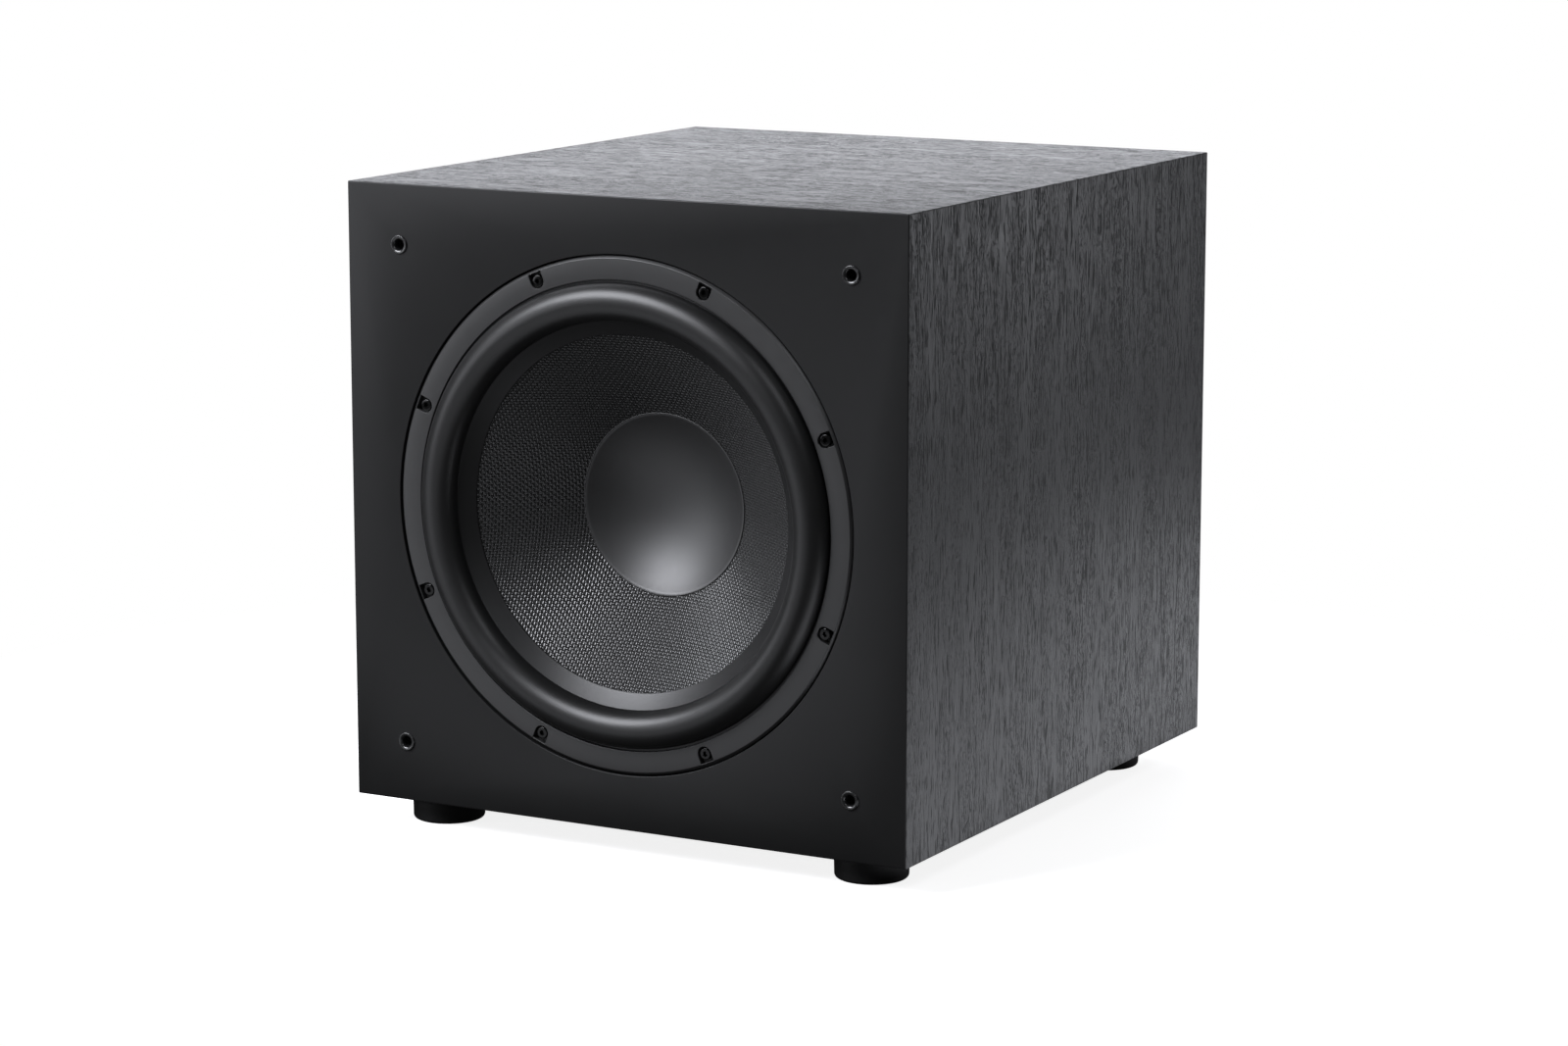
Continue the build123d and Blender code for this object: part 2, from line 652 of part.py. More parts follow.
def cone():
    neck = FORMER_OUTER + CLEARANCE
    wall = CONE_THICKNESS / sin(radians(90 - CONE_ANGLE))
    return turned(*chain(
        (CONE_OUTER, cone_front(CONE_OUTER)),
        (neck, cone_front(neck)),
        (neck, cone_front(neck) + wall),
        (CONE_OUTER, cone_front(CONE_OUTER) + wall),
        (CONE_OUTER, cone_front(CONE_OUTER)),
    ))


def surround():
    """Half-roll of rubber: outer land under the trim ring, the roll, and the inner glue land."""
    inside = ROLL_RADIUS - RUBBER
    lip = ROLL_CENTRE - inside
    outer = ROLL_CENTRE + inside
    return turned(
        *chain((outer, FLANGE_DEPTH), (LAND_OUTER, FLANGE_DEPTH), (LAND_OUTER, ROLL_BASE)),
        Line((LAND_OUTER, ROLL_BASE), (ROLL_CENTRE + ROLL_RADIUS, ROLL_BASE)),
        ThreePointArc(
            (ROLL_CENTRE + ROLL_RADIUS, ROLL_BASE),
            (ROLL_CENTRE, ROLL_BASE - ROLL_RADIUS),
            (ROLL_CENTRE - ROLL_RADIUS, ROLL_BASE),
        ),
        *chain(
            (ROLL_CENTRE - ROLL_RADIUS, ROLL_BASE),
            (GLUE_INNER, GLUE_INNER_DEPTH),
            (GLUE_INNER, cone_front(GLUE_INNER) - CLEARANCE),
            (lip, cone_front(lip) - CLEARANCE),
            (lip, ROLL_BASE),
        ),
        ThreePointArc((lip, ROLL_BASE), (ROLL_CENTRE, ROLL_BASE - inside), (outer, ROLL_BASE)),
        Line((outer, ROLL_BASE), (outer, FLANGE_DEPTH)),
    )


def dust_cap():
    """A dish, hollow side forward, whose lip is glued to the cone."""
    sphere = (CAP_RADIUS**2 + CAP_DISH**2) / (2 * CAP_DISH)
    centre = CAP_RIM_DEPTH + CAP_DISH - sphere

    def on_sphere(radius, ball):
        return (radius, centre + sqrt(ball**2 - radius**2))

    back = sphere + CAP_THICKNESS
    lip = CAP_RADIUS + CAP_LIP
    half = CAP_RADIUS / 2
    return turned(
        ThreePointArc(on_sphere(0, sphere), on_sphere(half, sphere), on_sphere(CAP_RADIUS, sphere)),
        *chain(
            (CAP_RADIUS, CAP_RIM_DEPTH),
            (lip, CAP_RIM_DEPTH),
            (lip, cone_front(lip)),
            (CAP_LIP_INNER, cone_front(CAP_LIP_INNER)),
            on_sphere(CAP_LIP_INNER, back),
        ),
        ThreePointArc(on_sphere(CAP_LIP_INNER, back), on_sphere(half, back), on_sphere(0, back)),
        Line(on_sphere(0, back), on_sphere(0, sphere)),
    )


def coil_former():
    return ring(FORMER_RADIUS, FORMER_OUTER, FORMER_FRONT, COIL_MIDDLE + COIL_LENGTH / 2 + 1)


def voice_coil():
    inner = FORMER_OUTER + CLEARANCE
    half = COIL_LENGTH / 2
    return ring(inner, inner + COIL_THICKNESS, COIL_MIDDLE - half, COIL_MIDDLE + half)


def spider():
    """Corrugated disc: flat neck, rolls, and the flat rim that lies on the frame's ledge."""
    neck = FORMER_OUTER + CLEARANCE
    span = SPIDER_WAVES_OUTER - SPIDER_WAVES_INNER
    steps = SPIDER_WAVES * 4

    def face(depth):
        waves = []
        for i in range(steps + 1):
            radius = SPIDER_WAVES_INNER + span * i / steps
            waves.append((radius, depth - SPIDER_WAVE_HEIGHT * sin(pi * i / 2)))
        return waves

    front, back = face(SPIDER_DEPTH - SPIDER_THICKNESS), face(SPIDER_DEPTH)
    return turned(
        *chain((neck, back[0][1]), (neck, front[0][1]), front[0]),
        Spline(front),
        *chain(front[-1], (SPIDER_OUTER, front[-1][1]), (SPIDER_OUTER, back[-1][1]), back[-1]),
        Spline(back[::-1]),
        *chain(back[0], (neck, back[0][1])),
    )


# ------------------------------------------------------------------ amplifier
def amp_screw_places():
    return [(side * AMP_SCREW_X, z) for side in (-1, 1) for z in AMP_SCREW_ROWS]


def amp_plate():
    plate = centred_block((0, 0), AMP_WIDTH, AMP_HEIGHT, AMP_INSIDE, AMP_FACE)
    plate = fillet(plate.edges().filter_by(Axis.Y), AMP_CORNER)
    through = (AMP_INSIDE, AMP_FACE)
    tools = [rod(at, AMP_SCREW_RADIUS + 0.2, *through) for at in amp_screw_places()]
    tools += [rod(at, BUSHING_RADIUS + CLEARANCE, *through) for at in (VOLUME_AT, CROSSOVER_AT)]
    tools += [rod(at, JACK_RADIUS + CLEARANCE, *through) for at in JACKS_AT]
    tools.append(rod(LAMP_AT, LAMP_RADIUS + CLEARANCE, *through))
    tools.append(rod(TRANSFORMER_AT, TRANSFORMER_BOLT + CLEARANCE, *through))
    slot = SLIDER_SIDE + SLIDER_TRAVEL + 2 * SLIDER_GAP
    tools += [centred_block(at, slot, SLIDER_SIDE + 2 * SLIDER_GAP, *through) for at in (PHASE_AT, POWER_AT)]
    for at, body in ((ROCKER_AT, ROCKER_BODY), (INLET_AT, INLET_BODY)):
        tools.append(centred_block(at, body[0] + 2 * CLEARANCE, body[1] + 2 * CLEARANCE, *through))
    return cut_each(plate, tools)


def amp_gasket():
    frame = centred_block((0, 0), AMP_WIDTH - 4, AMP_HEIGHT - 4, CABINET_DEPTH, AMP_INSIDE)
    frame -= centred_block((0, 0), AMP_CUTOUT_WIDTH + 2, AMP_CUTOUT_HEIGHT + 2, CABINET_DEPTH, AMP_INSIDE)
    radius = AMP_SCREW_RADIUS + 0.2
    return cut_each(frame, [rod(at, radius, CABINET_DEPTH, AMP_INSIDE) for at in amp_screw_places()])


def amp_screws():
    length = AMP_SCREW_LENGTH + AMP_FACE - CABINET_DEPTH - 1
    size = (AMP_SCREW_HEAD, AMP_SCREW_HEAD_HEIGHT, AMP_SCREW_RADIUS, length)
    return Compound(children=[screw(at, AMP_FACE, *size, 1) for at in amp_screw_places()])


def heatsink():
    """Finned extrusion screwed flat to the outside of the plate."""
    body = block(SINK_X, (AMP_FACE, AMP_FACE + SINK_BASE), SINK_Z)
    pitch = (SINK_X[1] - SINK_X[0] - SINK_FIN_WIDTH) / (SINK_FINS - 1)
    for i in range(SINK_FINS):
        left = SINK_X[0] + pitch * i
        fin = (AMP_FACE + SINK_BASE, AMP_FACE + SINK_FIN_HEIGHT)
        body += block((left, left + SINK_FIN_WIDTH), fin, SINK_Z)
    return body


def amp_housing():
    """Five-sided cover that seals the electronics off from the air in the cabinet."""
    front = AMP_INSIDE - HOUSING_DEPTH
    body = centred_block((0, 0), HOUSING_WIDTH, HOUSING_HEIGHT, front, AMP_INSIDE)
    inside = (HOUSING_WIDTH - 2 * HOUSING_WALL, HOUSING_HEIGHT - 2 * HOUSING_WALL)
    body -= centred_block((0, 0), *inside, front + HOUSING_WALL, AMP_INSIDE)
    return body - rod(LEAD_HOLE_AT, LEAD_HOLE_RADIUS, front, front + HOUSING_WALL)


def board_depths():
    back = AMP_INSIDE - STANDOFF_LENGTH
    return back - BOARD_THICKNESS, back


def circuit_board():
    board = block((-BOARD_X, BOARD_X), board_depths(), BOARD_Z)
    return fillet(board.edges().filter_by(Axis.Y), BOARD_CORNER)


def standoffs():
    depths = (board_depths()[1], AMP_INSIDE)
    return Compound(children=[tube(at, STANDOFF_RADIUS, STANDOFF_BORE, *depths) for at in STANDOFFS_AT])


def capacitors():
    back = board_depths()[0]
    cans = []
    for at in CAPACITORS_AT:
        can = rod(at, CAPACITOR_RADIUS, back - CAPACITOR_LENGTH, back)
        cans.append(fillet(can.edges().group_by(Axis.Y)[0], 1.5))
    return Compound(children=cans)


def transformer():
    """Toroidal winding lying against the inside of the plate."""
    depths = (AMP_INSIDE - TRANSFORMER_LENGTH, AMP_INSIDE)
    body = tube(TRANSFORMER_AT, TRANSFORMER_RADIUS, TRANSFORMER_BORE, *depths)
    return fillet(body.edges().filter_by(GeomType.CIRCLE), TRANSFORMER_ROUND)


def transformer_bolt():
    """Bolt with a dished washer that clamps the transformer to the plate."""
    front = AMP_INSIDE - TRANSFORMER_LENGTH
    under_nut = front - WASHER_THICKNESS
    washer = rod(TRANSFORMER_AT, TRANSFORMER_RADIUS - WASHER_INSET, under_nut, front)
    nut = rod(TRANSFORMER_AT, NUT_RADIUS, under_nut - NUT_HEIGHT, under_nut)
    shank = rod(TRANSFORMER_AT, TRANSFORMER_BOLT, front, AMP_FACE)
    head = rod(TRANSFORMER_AT, NUT_RADIUS, AMP_FACE, AMP_FACE + BOLT_HEAD_HEIGHT)
    return washer + nut + shank + head


def speaker_leads():
    """Two wires from the frame's tabs, through the brace and the housing, to the board."""
    last_x, _, height = LEAD_ROUTE[-1]
    route = (*LEAD_ROUTE, (last_x, board_depths()[0] - CLEARANCE, height))
    leads = [lead(route, side, LEAD_RADIUS) for side in (-1, 1)]
    return Compound(children=leads)


# ------------------------------------------------------------------ controls
def control_knob(at):
    front = AMP_FACE + KNOB_GAP
    body = rod(at, KNOB_RADIUS, front, REAR_END)
    body = chamfer(body.edges().group_by(Axis.Y)[-1], KNOB_EDGE)
    body -= rod(at, SHAFT_RADIUS + CLEARANCE, front, REAR_END - KNOB_ROOF)
    x, z = at
    turn = Pos(x, 0, Z_MIDDLE + z)
    flute = rod((KNOB_RADIUS + x, z), KNOB_FLUTE_RADIUS, front + 2, REAR_END)
    for i in range(KNOB_FLUTES):
        body -= turn * Rot(0, 360 / KNOB_FLUTES * (i + 0.5), 0) * turn.inverse() * flute
    half = KNOB_POINTER_WIDTH / 2
    pointer = (REAR_END - KNOB_POINTER_DEPTH, REAR_END)
    return body - block((x - half, x + half), pointer, (z + 2, z + KNOB_RADIUS))


def control_shaft(at):
    return rod(at, SHAFT_RADIUS, AMP_INSIDE - SHAFT_INSIDE, REAR_END - SHAFT_TOP)


def potentiometer(at):
    """Body behind the plate, with a bushing that passes through it."""
    front = board_depths()[1]
    body = centred_block(at, POT_SIDE, POT_SIDE, front, AMP_INSIDE)
    body = fillet(body.edges().filter_by(Axis.Y), 1.5)
    body += rod(at, BUSHING_RADIUS, AMP_INSIDE, AMP_FACE + BUSHING_PROUD)
    return body - rod(at, SHAFT_RADIUS + SHAFT_FIT, AMP_INSIDE - SHAFT_INSIDE - 1, AMP_FACE + 1)


def slide_cap(at):
    x, z = at
    rest = (x - SLIDER_TRAVEL / 2, z)
    face = AMP_FACE + SLIDER_PROUD
    body = centred_block(rest, SLIDER_SIDE, SLIDER_SIDE, AMP_INSIDE - SLIDER_INSIDE, face)
    half = SLIDER_SIDE / 2
    for shift in SLIDER_GROOVES:
        middle = rest[0] + shift
        across = (middle - SLIDER_GROOVE_HALF, middle + SLIDER_GROOVE_HALF)
        body -= block(across, (face - SLIDER_GROOVE_DEPTH, face), (z - half, z + half))
    return body


def switch_body(at):
    width, height, depth = SWITCH_BODY
    body = centred_block(at, width, height, AMP_INSIDE - depth, AMP_INSIDE)
    length = SLIDER_SIDE + SLIDER_TRAVEL + 2 * SLIDER_GAP
    floor = AMP_INSIDE - SLIDER_INSIDE - SLIDER_UNDER
    return body - centred_block(at, length, SLIDER_SIDE + 2 * SLIDER_GAP, floor, AMP_INSIDE)


def rocker_pins(radius, length):
    """The rocker's two pivot pins, along X through its middle."""
    x, z = ROCKER_AT
    pins = Pos(x, Y_BAFFLE + AMP_INSIDE, Z_MIDDLE + z) * Rot(0, 90, 0)
    return pins * Cylinder(radius, ROCKER_WIDTH + 2 * length)


def rocker():
    """Two-faced button, tilted to one side at rest."""
    half = ROCKER_HALF_LENGTH
    outline = Polyline(
        (-half, -ROCKER_BELOW),
        (half, -ROCKER_BELOW),
        (half, ROCKER_ABOVE),
        (0, ROCKER_DIP),
        (-half, ROCKER_ABOVE),
        close=True,
    )
    x, z = ROCKER_AT
    pivot = Plane(origin=(x, Y_BAFFLE + AMP_INSIDE, Z_MIDDLE + z), x_dir=(0, 0, 1), z_dir=(-1, 0, 0))
    side = pivot * Rot(0, 0, ROCKER_TILT) * make_face(outline)
    return extrude(side, ROCKER_WIDTH / 2, both=True) + rocker_pins(ROCKER_PIN, ROCKER_PIN_LENGTH)


def rocker_housing():
    bezel = centred_block(ROCKER_AT, *ROCKER_BEZEL[:2], AMP_FACE, AMP_FACE + ROCKER_BEZEL[2])
    bezel = fillet(bezel.edges().filter_by(Axis.Y), 1.5)
    body = centred_block(ROCKER_AT, *ROCKER_BODY[:2], AMP_FACE - ROCKER_BODY[2], AMP_FACE)
    top = AMP_FACE + ROCKER_BEZEL[2]
    well = centred_block(ROCKER_AT, *ROCKER_WELL[:2], top - ROCKER_WELL[2], top)
    return bezel + body - well - rocker_pins(ROCKER_PIN + SHAFT_FIT, ROCKER_PIN_LENGTH + 0.2)


# ------------------------------------------------------------------ connections
def inlet_well():
    x, z = INLET_AT
    width, height, depth = INLET_WELL
    top = AMP_FACE + INLET_FLANGE[2]
    well = centred_block((x, z + INLET_WELL_Z), width, height, top - depth, top)
    upper = well.edges().filter_by(Axis.Y).group_by(Axis.Z)[-1]
    return chamfer(upper, INLET_WELL_CHAMFER)


def drawer_block(grow):
    x, z = INLET_AT
    width, height, length = DRAWER
    back = AMP_FACE + INLET_FLANGE[2]
    size = (width + 2 * grow, height + 2 * grow)
    return centred_block((x, z + DRAWER_Z), *size, back - length - grow, back)


def pin_blocks(grow):
    x, z = INLET_AT
    tip = AMP_FACE + INLET_FLANGE[2] - PIN_RECESS
    size = (PIN_SIZE[0] + 2 * grow, PIN_SIZE[1] + 2 * grow)
    places = [(x + px, z + INLET_WELL_Z + pz) for px, pz in PINS_AT]
    return [centred_block(at, *size, tip - PIN_LENGTH, tip) for at in places]


def mains_inlet():
    flange = centred_block(INLET_AT, *INLET_FLANGE[:2], AMP_FACE, AMP_FACE + INLET_FLANGE[2])
    flange = fillet(flange.edges().filter_by(Axis.Y), 2)
    body = centred_block(INLET_AT, *INLET_BODY[:2], AMP_FACE - INLET_BODY[2], AMP_FACE)
    body = flange + body - inlet_well() - drawer_block(DRAWER_GAP)
    return cut_each(body, pin_blocks(CLEARANCE))


def fuse_place():
    x, z = INLET_AT
    back = AMP_FACE + INLET_FLANGE[2]
    return Pos(x, Y_BAFFLE + back - FUSE_DEPTH, Z_MIDDLE + z + DRAWER_Z) * Rot(0, 90, 0)


def fuse_drawer():
    """Tray with a thumb notch in its face and a trough for the fuse."""
    body = drawer_block(0)
    x, z = INLET_AT
    back = AMP_FACE + INLET_FLANGE[2]
    body -= fuse_place() * Cylinder(FUSE_RADIUS + 0.2, FUSE_LENGTH + 0.4)
    width, height, depth = DRAWER_NOTCH
    notch = centred_block((x, z + DRAWER_Z - DRAWER[1] / 2), width, height, back - depth, back)
    return body - notch


def fuse():
    return fuse_place() * Cylinder(FUSE_RADIUS, FUSE_LENGTH)


def input_jack(at):
    body = rod(at, JACK_RADIUS, AMP_INSIDE - JACK_INNER_LENGTH, AMP_FACE + JACK_PROUD)
    body += rod(at, JACK_NUT_RADIUS, AMP_FACE, AMP_FACE + JACK_NUT)
    return body - rod(at, JACK_BORE, AMP_INSIDE - JACK_INNER_LENGTH, AMP_FACE + JACK_PROUD)


def jack_insulator(at):
    outside = JACK_BORE - CLEARANCE
    back = AMP_FACE + JACK_PROUD - JACK_INSERT_RECESS
    return tube(at, outside, JACK_CONTACT_RADIUS, AMP_INSIDE - JACK_INNER_LENGTH, back)


def status_lamp():
    body = rod(LAMP_AT, LAMP_RADIUS, AMP_INSIDE - LAMP_INSIDE, AMP_FACE + LAMP_PROUD)
    return fillet(body.edges().group_by(Axis.Y)[-1], LAMP_DOME)


# ------------------------------------------------------------------ all nodes
def group(shapes):
    return Compound(children=list(shapes))


def nodes():
    made = {
        "baffle": baffle(),
        "rear_panel": rear_panel(),
        "left_panel": mitred_panel(0, 0),
        "right_panel": mitred_panel(0, 1),
        "bottom_panel": bottom_panel(),
        "top_panel": mitred_panel(2, 1),
        "brace": brace(),
        "wadding": wadding(),
        "foot_screws": group(foot_screw(x, y) for x, y in foot_places().values()),
        "grille_sockets": group(grille_socket(at) for at in socket_places()),
        "driver_frame": driver_frame(),
        "trim_ring": trim_ring(),
        "driver_gasket": driver_gasket(),
        "driver_screws": driver_screws(),
        "top_plate": top_plate(),
        "magnet": magnet(),
        "back_plate": back_plate(),
        "terminal_board": terminal_board(),
        "terminal_tabs": group(terminal_tab_blocks(0)),
        "tinsel_leads": tinsel_leads(),
        "cone": cone(),
        "surround": surround(),
        "dust_cap": dust_cap(),
        "coil_former": coil_former(),
        "voice_coil": voice_coil(),
        "spider": spider(),
        "amp_plate": amp_plate(),
        "amp_gasket": amp_gasket(),
        "amp_screws": amp_screws(),
        "heatsink": heatsink(),
        "amp_housing": amp_housing(),
        "circuit_board": circuit_board(),
        "standoffs": standoffs(),
        "capacitors": capacitors(),
        "transformer": transformer(),
        "transformer_bolt": transformer_bolt(),
        "speaker_leads": speaker_leads(),
        "rocker": rocker(),
        "rocker_housing": rocker_housing(),
        "mains_inlet": mains_inlet(),
        "inlet_pins": group(pin_blocks(0)),
        "fuse_drawer": fuse_drawer(),
        "fuse": fuse(),
        "input_jacks": group(input_jack(at) for at in JACKS_AT),
        "jack_insulators": group(jack_insulator(at) for at in JACKS_AT),
        "status_lamp": status_lamp(),
    }
    for place, (x, y) in foot_places().items():
        made["foot_" + place] = foot(x, y)
    for name, at in (("volume", VOLUME_AT), ("crossover", CROSSOVER_AT)):
        made[name + "_knob"] = control_knob(at)
        made[name + "_shaft"] = control_shaft(at)
        made[name + "_pot"] = potentiometer(at)
    for name, at in (("phase", PHASE_AT), ("power", POWER_AT)):
        made[name + "_slider"] = slide_cap(at)
        made[name + "_switch_body"] = switch_body(at)
    return made


os.makedirs("parts", exist_ok=True)
for name, shape in nodes().items():
    export_step(shape, f"parts/{name}.step")
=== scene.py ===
import json
import math

import bmesh
import bpy
import numpy as np
from mathutils import Euler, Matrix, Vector, noise

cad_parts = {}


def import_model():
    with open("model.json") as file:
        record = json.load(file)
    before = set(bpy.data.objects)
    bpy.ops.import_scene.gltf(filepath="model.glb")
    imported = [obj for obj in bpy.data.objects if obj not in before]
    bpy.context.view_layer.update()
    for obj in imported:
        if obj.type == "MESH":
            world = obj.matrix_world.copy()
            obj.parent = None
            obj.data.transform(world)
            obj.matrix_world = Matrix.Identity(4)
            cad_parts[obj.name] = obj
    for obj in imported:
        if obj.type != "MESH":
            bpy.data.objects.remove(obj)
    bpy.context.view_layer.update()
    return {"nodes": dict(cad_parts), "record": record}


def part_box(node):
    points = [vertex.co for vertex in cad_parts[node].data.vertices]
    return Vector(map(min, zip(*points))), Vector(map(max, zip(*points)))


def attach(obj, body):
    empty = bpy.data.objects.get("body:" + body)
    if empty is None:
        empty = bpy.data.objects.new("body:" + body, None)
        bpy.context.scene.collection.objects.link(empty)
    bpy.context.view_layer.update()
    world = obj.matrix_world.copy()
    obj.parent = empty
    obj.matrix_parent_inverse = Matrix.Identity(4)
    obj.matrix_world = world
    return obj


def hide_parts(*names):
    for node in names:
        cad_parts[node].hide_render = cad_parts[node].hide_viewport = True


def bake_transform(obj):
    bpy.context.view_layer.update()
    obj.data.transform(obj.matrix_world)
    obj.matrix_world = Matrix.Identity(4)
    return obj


# Looks of the active subwoofer. Shapes are in millimetres as (x, depth, height): x to the
# right, depth back from the baffle's face, height above the driver's axis. `world` turns them
# into the frame's metres.

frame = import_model()

MM = 0.001
TURNS = 256                  # steps round a large turned piece
SMALL_TURNS = 48             # and round a small one
SMOOTH_ANGLE = math.radians(32)
DOUBLE = 0.002 * MM          # points closer than this are one point

RING_LOW, RING_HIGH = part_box("trim_ring")
FACE_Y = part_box("baffle")[0].y
AXIS_Z = (RING_LOW.z + RING_HIGH.z) / 2


def world(points):
    return np.asarray(points, float) * MM + (0, FACE_Y, AXIS_Z)


def local_box(node):
    """Lowest and highest (x, depth, height) of a CAD node, in millimetres."""
    low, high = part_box(node)
    shift = np.array((0, FACE_Y, AXIS_Z))
    return (np.array(low) - shift) / MM, (np.array(high) - shift) / MM


def middle_of(node):
    low, high = local_box(node)
    return (low + high) / 2


# ---- shapes
# A shape is (points, faces): an array of points and a list of faces as point numbers.
def rounded(corners, steps=5):
    """An outline through (u, v) corners; a third value rounds that corner with that radius."""
    points = []
    for i, corner in enumerate(corners):
        at = np.array(corner[:2], float)
        if len(corner) == 2:
            points.append(at)
            continue
        to_last = np.array(corners[i - 1][:2]) - at
        to_next = np.array(corners[(i + 1) % len(corners)][:2]) - at
        to_last = to_last / np.linalg.norm(to_last)
        to_next = to_next / np.linalg.norm(to_next)
        half = math.acos(np.clip(to_last @ to_next, -1, 1)) / 2
        inward = (to_last + to_next) / np.linalg.norm(to_last + to_next)
        centre = at + inward * corner[2] / math.sin(half)
        start = at + to_last * corner[2] / math.tan(half) - centre
        end = at + to_next * corner[2] / math.tan(half) - centre
        sweep = math.atan2(start[0] * end[1] - start[1] * end[0], start @ end)
        for step in range(steps + 1):
            turn = sweep * step / steps
            c, s = math.cos(turn), math.sin(turn)
            points.append(centre + (c * start[0] - s * start[1], s * start[0] + c * start[1]))
    return np.array(points)


def turned(outline, turns=TURNS, at=(0, 0)):
    """An outline of (radius, depth), turned about an axis along Y through (x, height)."""
    outline = np.asarray(outline, float)
    angles = np.arange(turns) * 2 * math.pi / turns
    x = at[0] + np.outer(np.sin(angles), outline[:, 0])
    z = at[1] + np.outer(np.cos(angles), outline[:, 0])
    depth = np.broadcast_to(outline[:, 1], x.shape)
    return grid(np.stack([x, depth, z], -1), wrap=True)


def upright(outline, at, turns):
    """An outline of (radius, height), turned about an upright axis through (x, depth)."""
    outline = np.asarray(outline, float)
    angles = np.arange(turns) * 2 * math.pi / turns
    x = at[0] + np.outer(np.sin(angles), outline[:, 0])
    depth = at[1] - np.outer(np.cos(angles), outline[:, 0])
    z = np.broadcast_to(outline[:, 1], x.shape)
    return grid(np.stack([x, depth, z], -1), wrap=True)


def grid(points, wrap=False):
    """Quads over a grid of points, closed across its rows if it wraps."""
    rows, columns = points.shape[:2]
    first = np.arange(rows if wrap else rows - 1)
    here = first[:, None] * columns + np.arange(columns - 1)
    there = ((first + 1) % rows)[:, None] * columns + np.arange(columns - 1)
    faces = np.stack([here, here + 1, there + 1, there], -1).reshape(-1, 4)
    return points.reshape(-1, 3), faces.tolist()


def joined(shapes):
    points = []
    faces = []
    count = 0
    for some_points, some_faces in shapes:
        points.append(np.asarray(some_points, float))
        faces += [[i + count for i in face] for face in some_faces]
        count += len(some_points)
    return np.concatenate(points), faces


def smooth(mesh):
    mesh.shade_smooth()
    mesh.set_sharp_from_angle(angle=SMOOTH_ANGLE)


def mesh_of(bm, name):
    """Turns a bmesh into a mesh and frees it."""
    mesh = bpy.data.meshes.new(name)
    bm.to_mesh(mesh)
    bm.free()
    return mesh


def linked(name, data):
    """A new object in the scene."""
    thing = bpy.data.objects.new(name, data)
    bpy.context.scene.collection.objects.link(thing)
    return thing


def add_piece(name, mesh, materials, body, nodes):
    """Adds a piece that rides on a body, if it is given one."""
    piece = linked(name, mesh)
    for material in materials:
        mesh.materials.append(material)
    if body:
        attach(piece, body)
    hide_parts(*nodes)
    return piece


def make_mesh(name, shape):
    """A clean mesh of a shape: doubled points are merged and its faces all look outwards."""
    points, faces = shape
    bm = bmesh.new()
    verts = [bm.verts.new(point) for point in world(points)]
    for face in faces:
        if len(set(face)) > 2:
            bm.faces.new([verts[i] for i in face])
    bmesh.ops.remove_doubles(bm, verts=bm.verts, dist=DOUBLE)
    bmesh.ops.dissolve_degenerate(bm, edges=bm.edges, dist=DOUBLE / 2)
    bmesh.ops.recalc_face_normals(bm, faces=bm.faces)
    mesh = mesh_of(bm, name)
    smooth(mesh)
    return mesh


def model(name, shape, material, body, slot, *nodes):
    """A new piece that stands for CAD nodes."""
    return add_piece(name, make_mesh(name, shape), [material], body, nodes)


# ---- materials
class Surface:
    """A material whose nodes are made one call at a time."""

    def __init__(self, name):
        self.material = bpy.data.materials.new(name)
        self.material.use_nodes = True
        self.tree = self.material.node_tree
        self.shader = self.tree.nodes["Principled BSDF"]

    def node(self, kind, inputs=None, **settings):
        node = self.tree.nodes.new("ShaderNode" + kind)
        for key, value in settings.items():
            setattr(node, key, value)
        for key, value in (inputs or {}).items():
            self.feed(node, key, value)
        return node

    def feed(self, node, key, value):
        if isinstance(value, bpy.types.NodeSocket):
            self.tree.links.new(value, node.inputs[key])
        else:
            node.inputs[key].default_value = value

    def set(self, **inputs):
        """Sets inputs of the main shader; underscores stand for spaces."""
        for key, value in inputs.items():
            self.feed(self.shader, key.replace("_", " "), value)

    def here(self):
        """The point on the object, in metres."""
        return self.node("TexCoord").outputs["Object"]

    def scaled(self, vector, scale):
        return self.node("Mapping", {"Vector": vector, "Scale": scale}).outputs["Vector"]

    def noise_at(self, vector, scale, detail, roughness):
        inputs = {"Vector": vector, "Scale": scale, "Detail": detail, "Roughness": roughness}
        return self.node("TexNoise", inputs).outputs["Fac"]

    def noise(self, scale, detail=2.0, roughness=0.5, stretch=(1, 1, 1)):
        return self.noise_at(self.scaled(self.here(), stretch), scale, detail, roughness)

    def math(self, operation, *values):
        return self.node("Math", dict(enumerate(values)), operation=operation).outputs[0]

    def span(self, value, low, high, to_low=0.0, to_high=1.0):
        """Maps a value from one range to another, and clamps it."""
        inputs = {"Value": value, "From Min": low, "From Max": high, "To Min": to_low, "To Max": to_high}
        return self.node("MapRange", inputs).outputs["Result"]

    def mix(self, share, first, second):
        """A blend of two colours, which are sockets 6 and 7 of the mixing node."""
        node = self.node("Mix", {"Factor": share, 6: first, 7: second}, data_type="RGBA")
        return node.outputs[2]

    def bump(self, height, distance):
        inputs = {"Height": height, "Distance": distance, "Strength": 1.0}
        return self.node("Bump", inputs).outputs["Normal"]


GRAIN_STRETCH = 0.11         # of the pores along the grain
GRAIN_SWAY = 0.006
GRAIN_DEPTH = 0.22 * MM
SHORT_PORES = 3.0            # how many times shorter the short pores are
YARN_DIP = 0.72              # height of a yarn at its edge crossings, against its crest
YARN_RELIEF = 0.56 * MM


def grey(value, warmth=0.0):
    return (value * (1 + warmth), value, value * (1 - warmth), 1)


def shaded(colour, factor):
    return tuple(min(1.0, channel * factor) for channel in colour[:3]) + (1,)


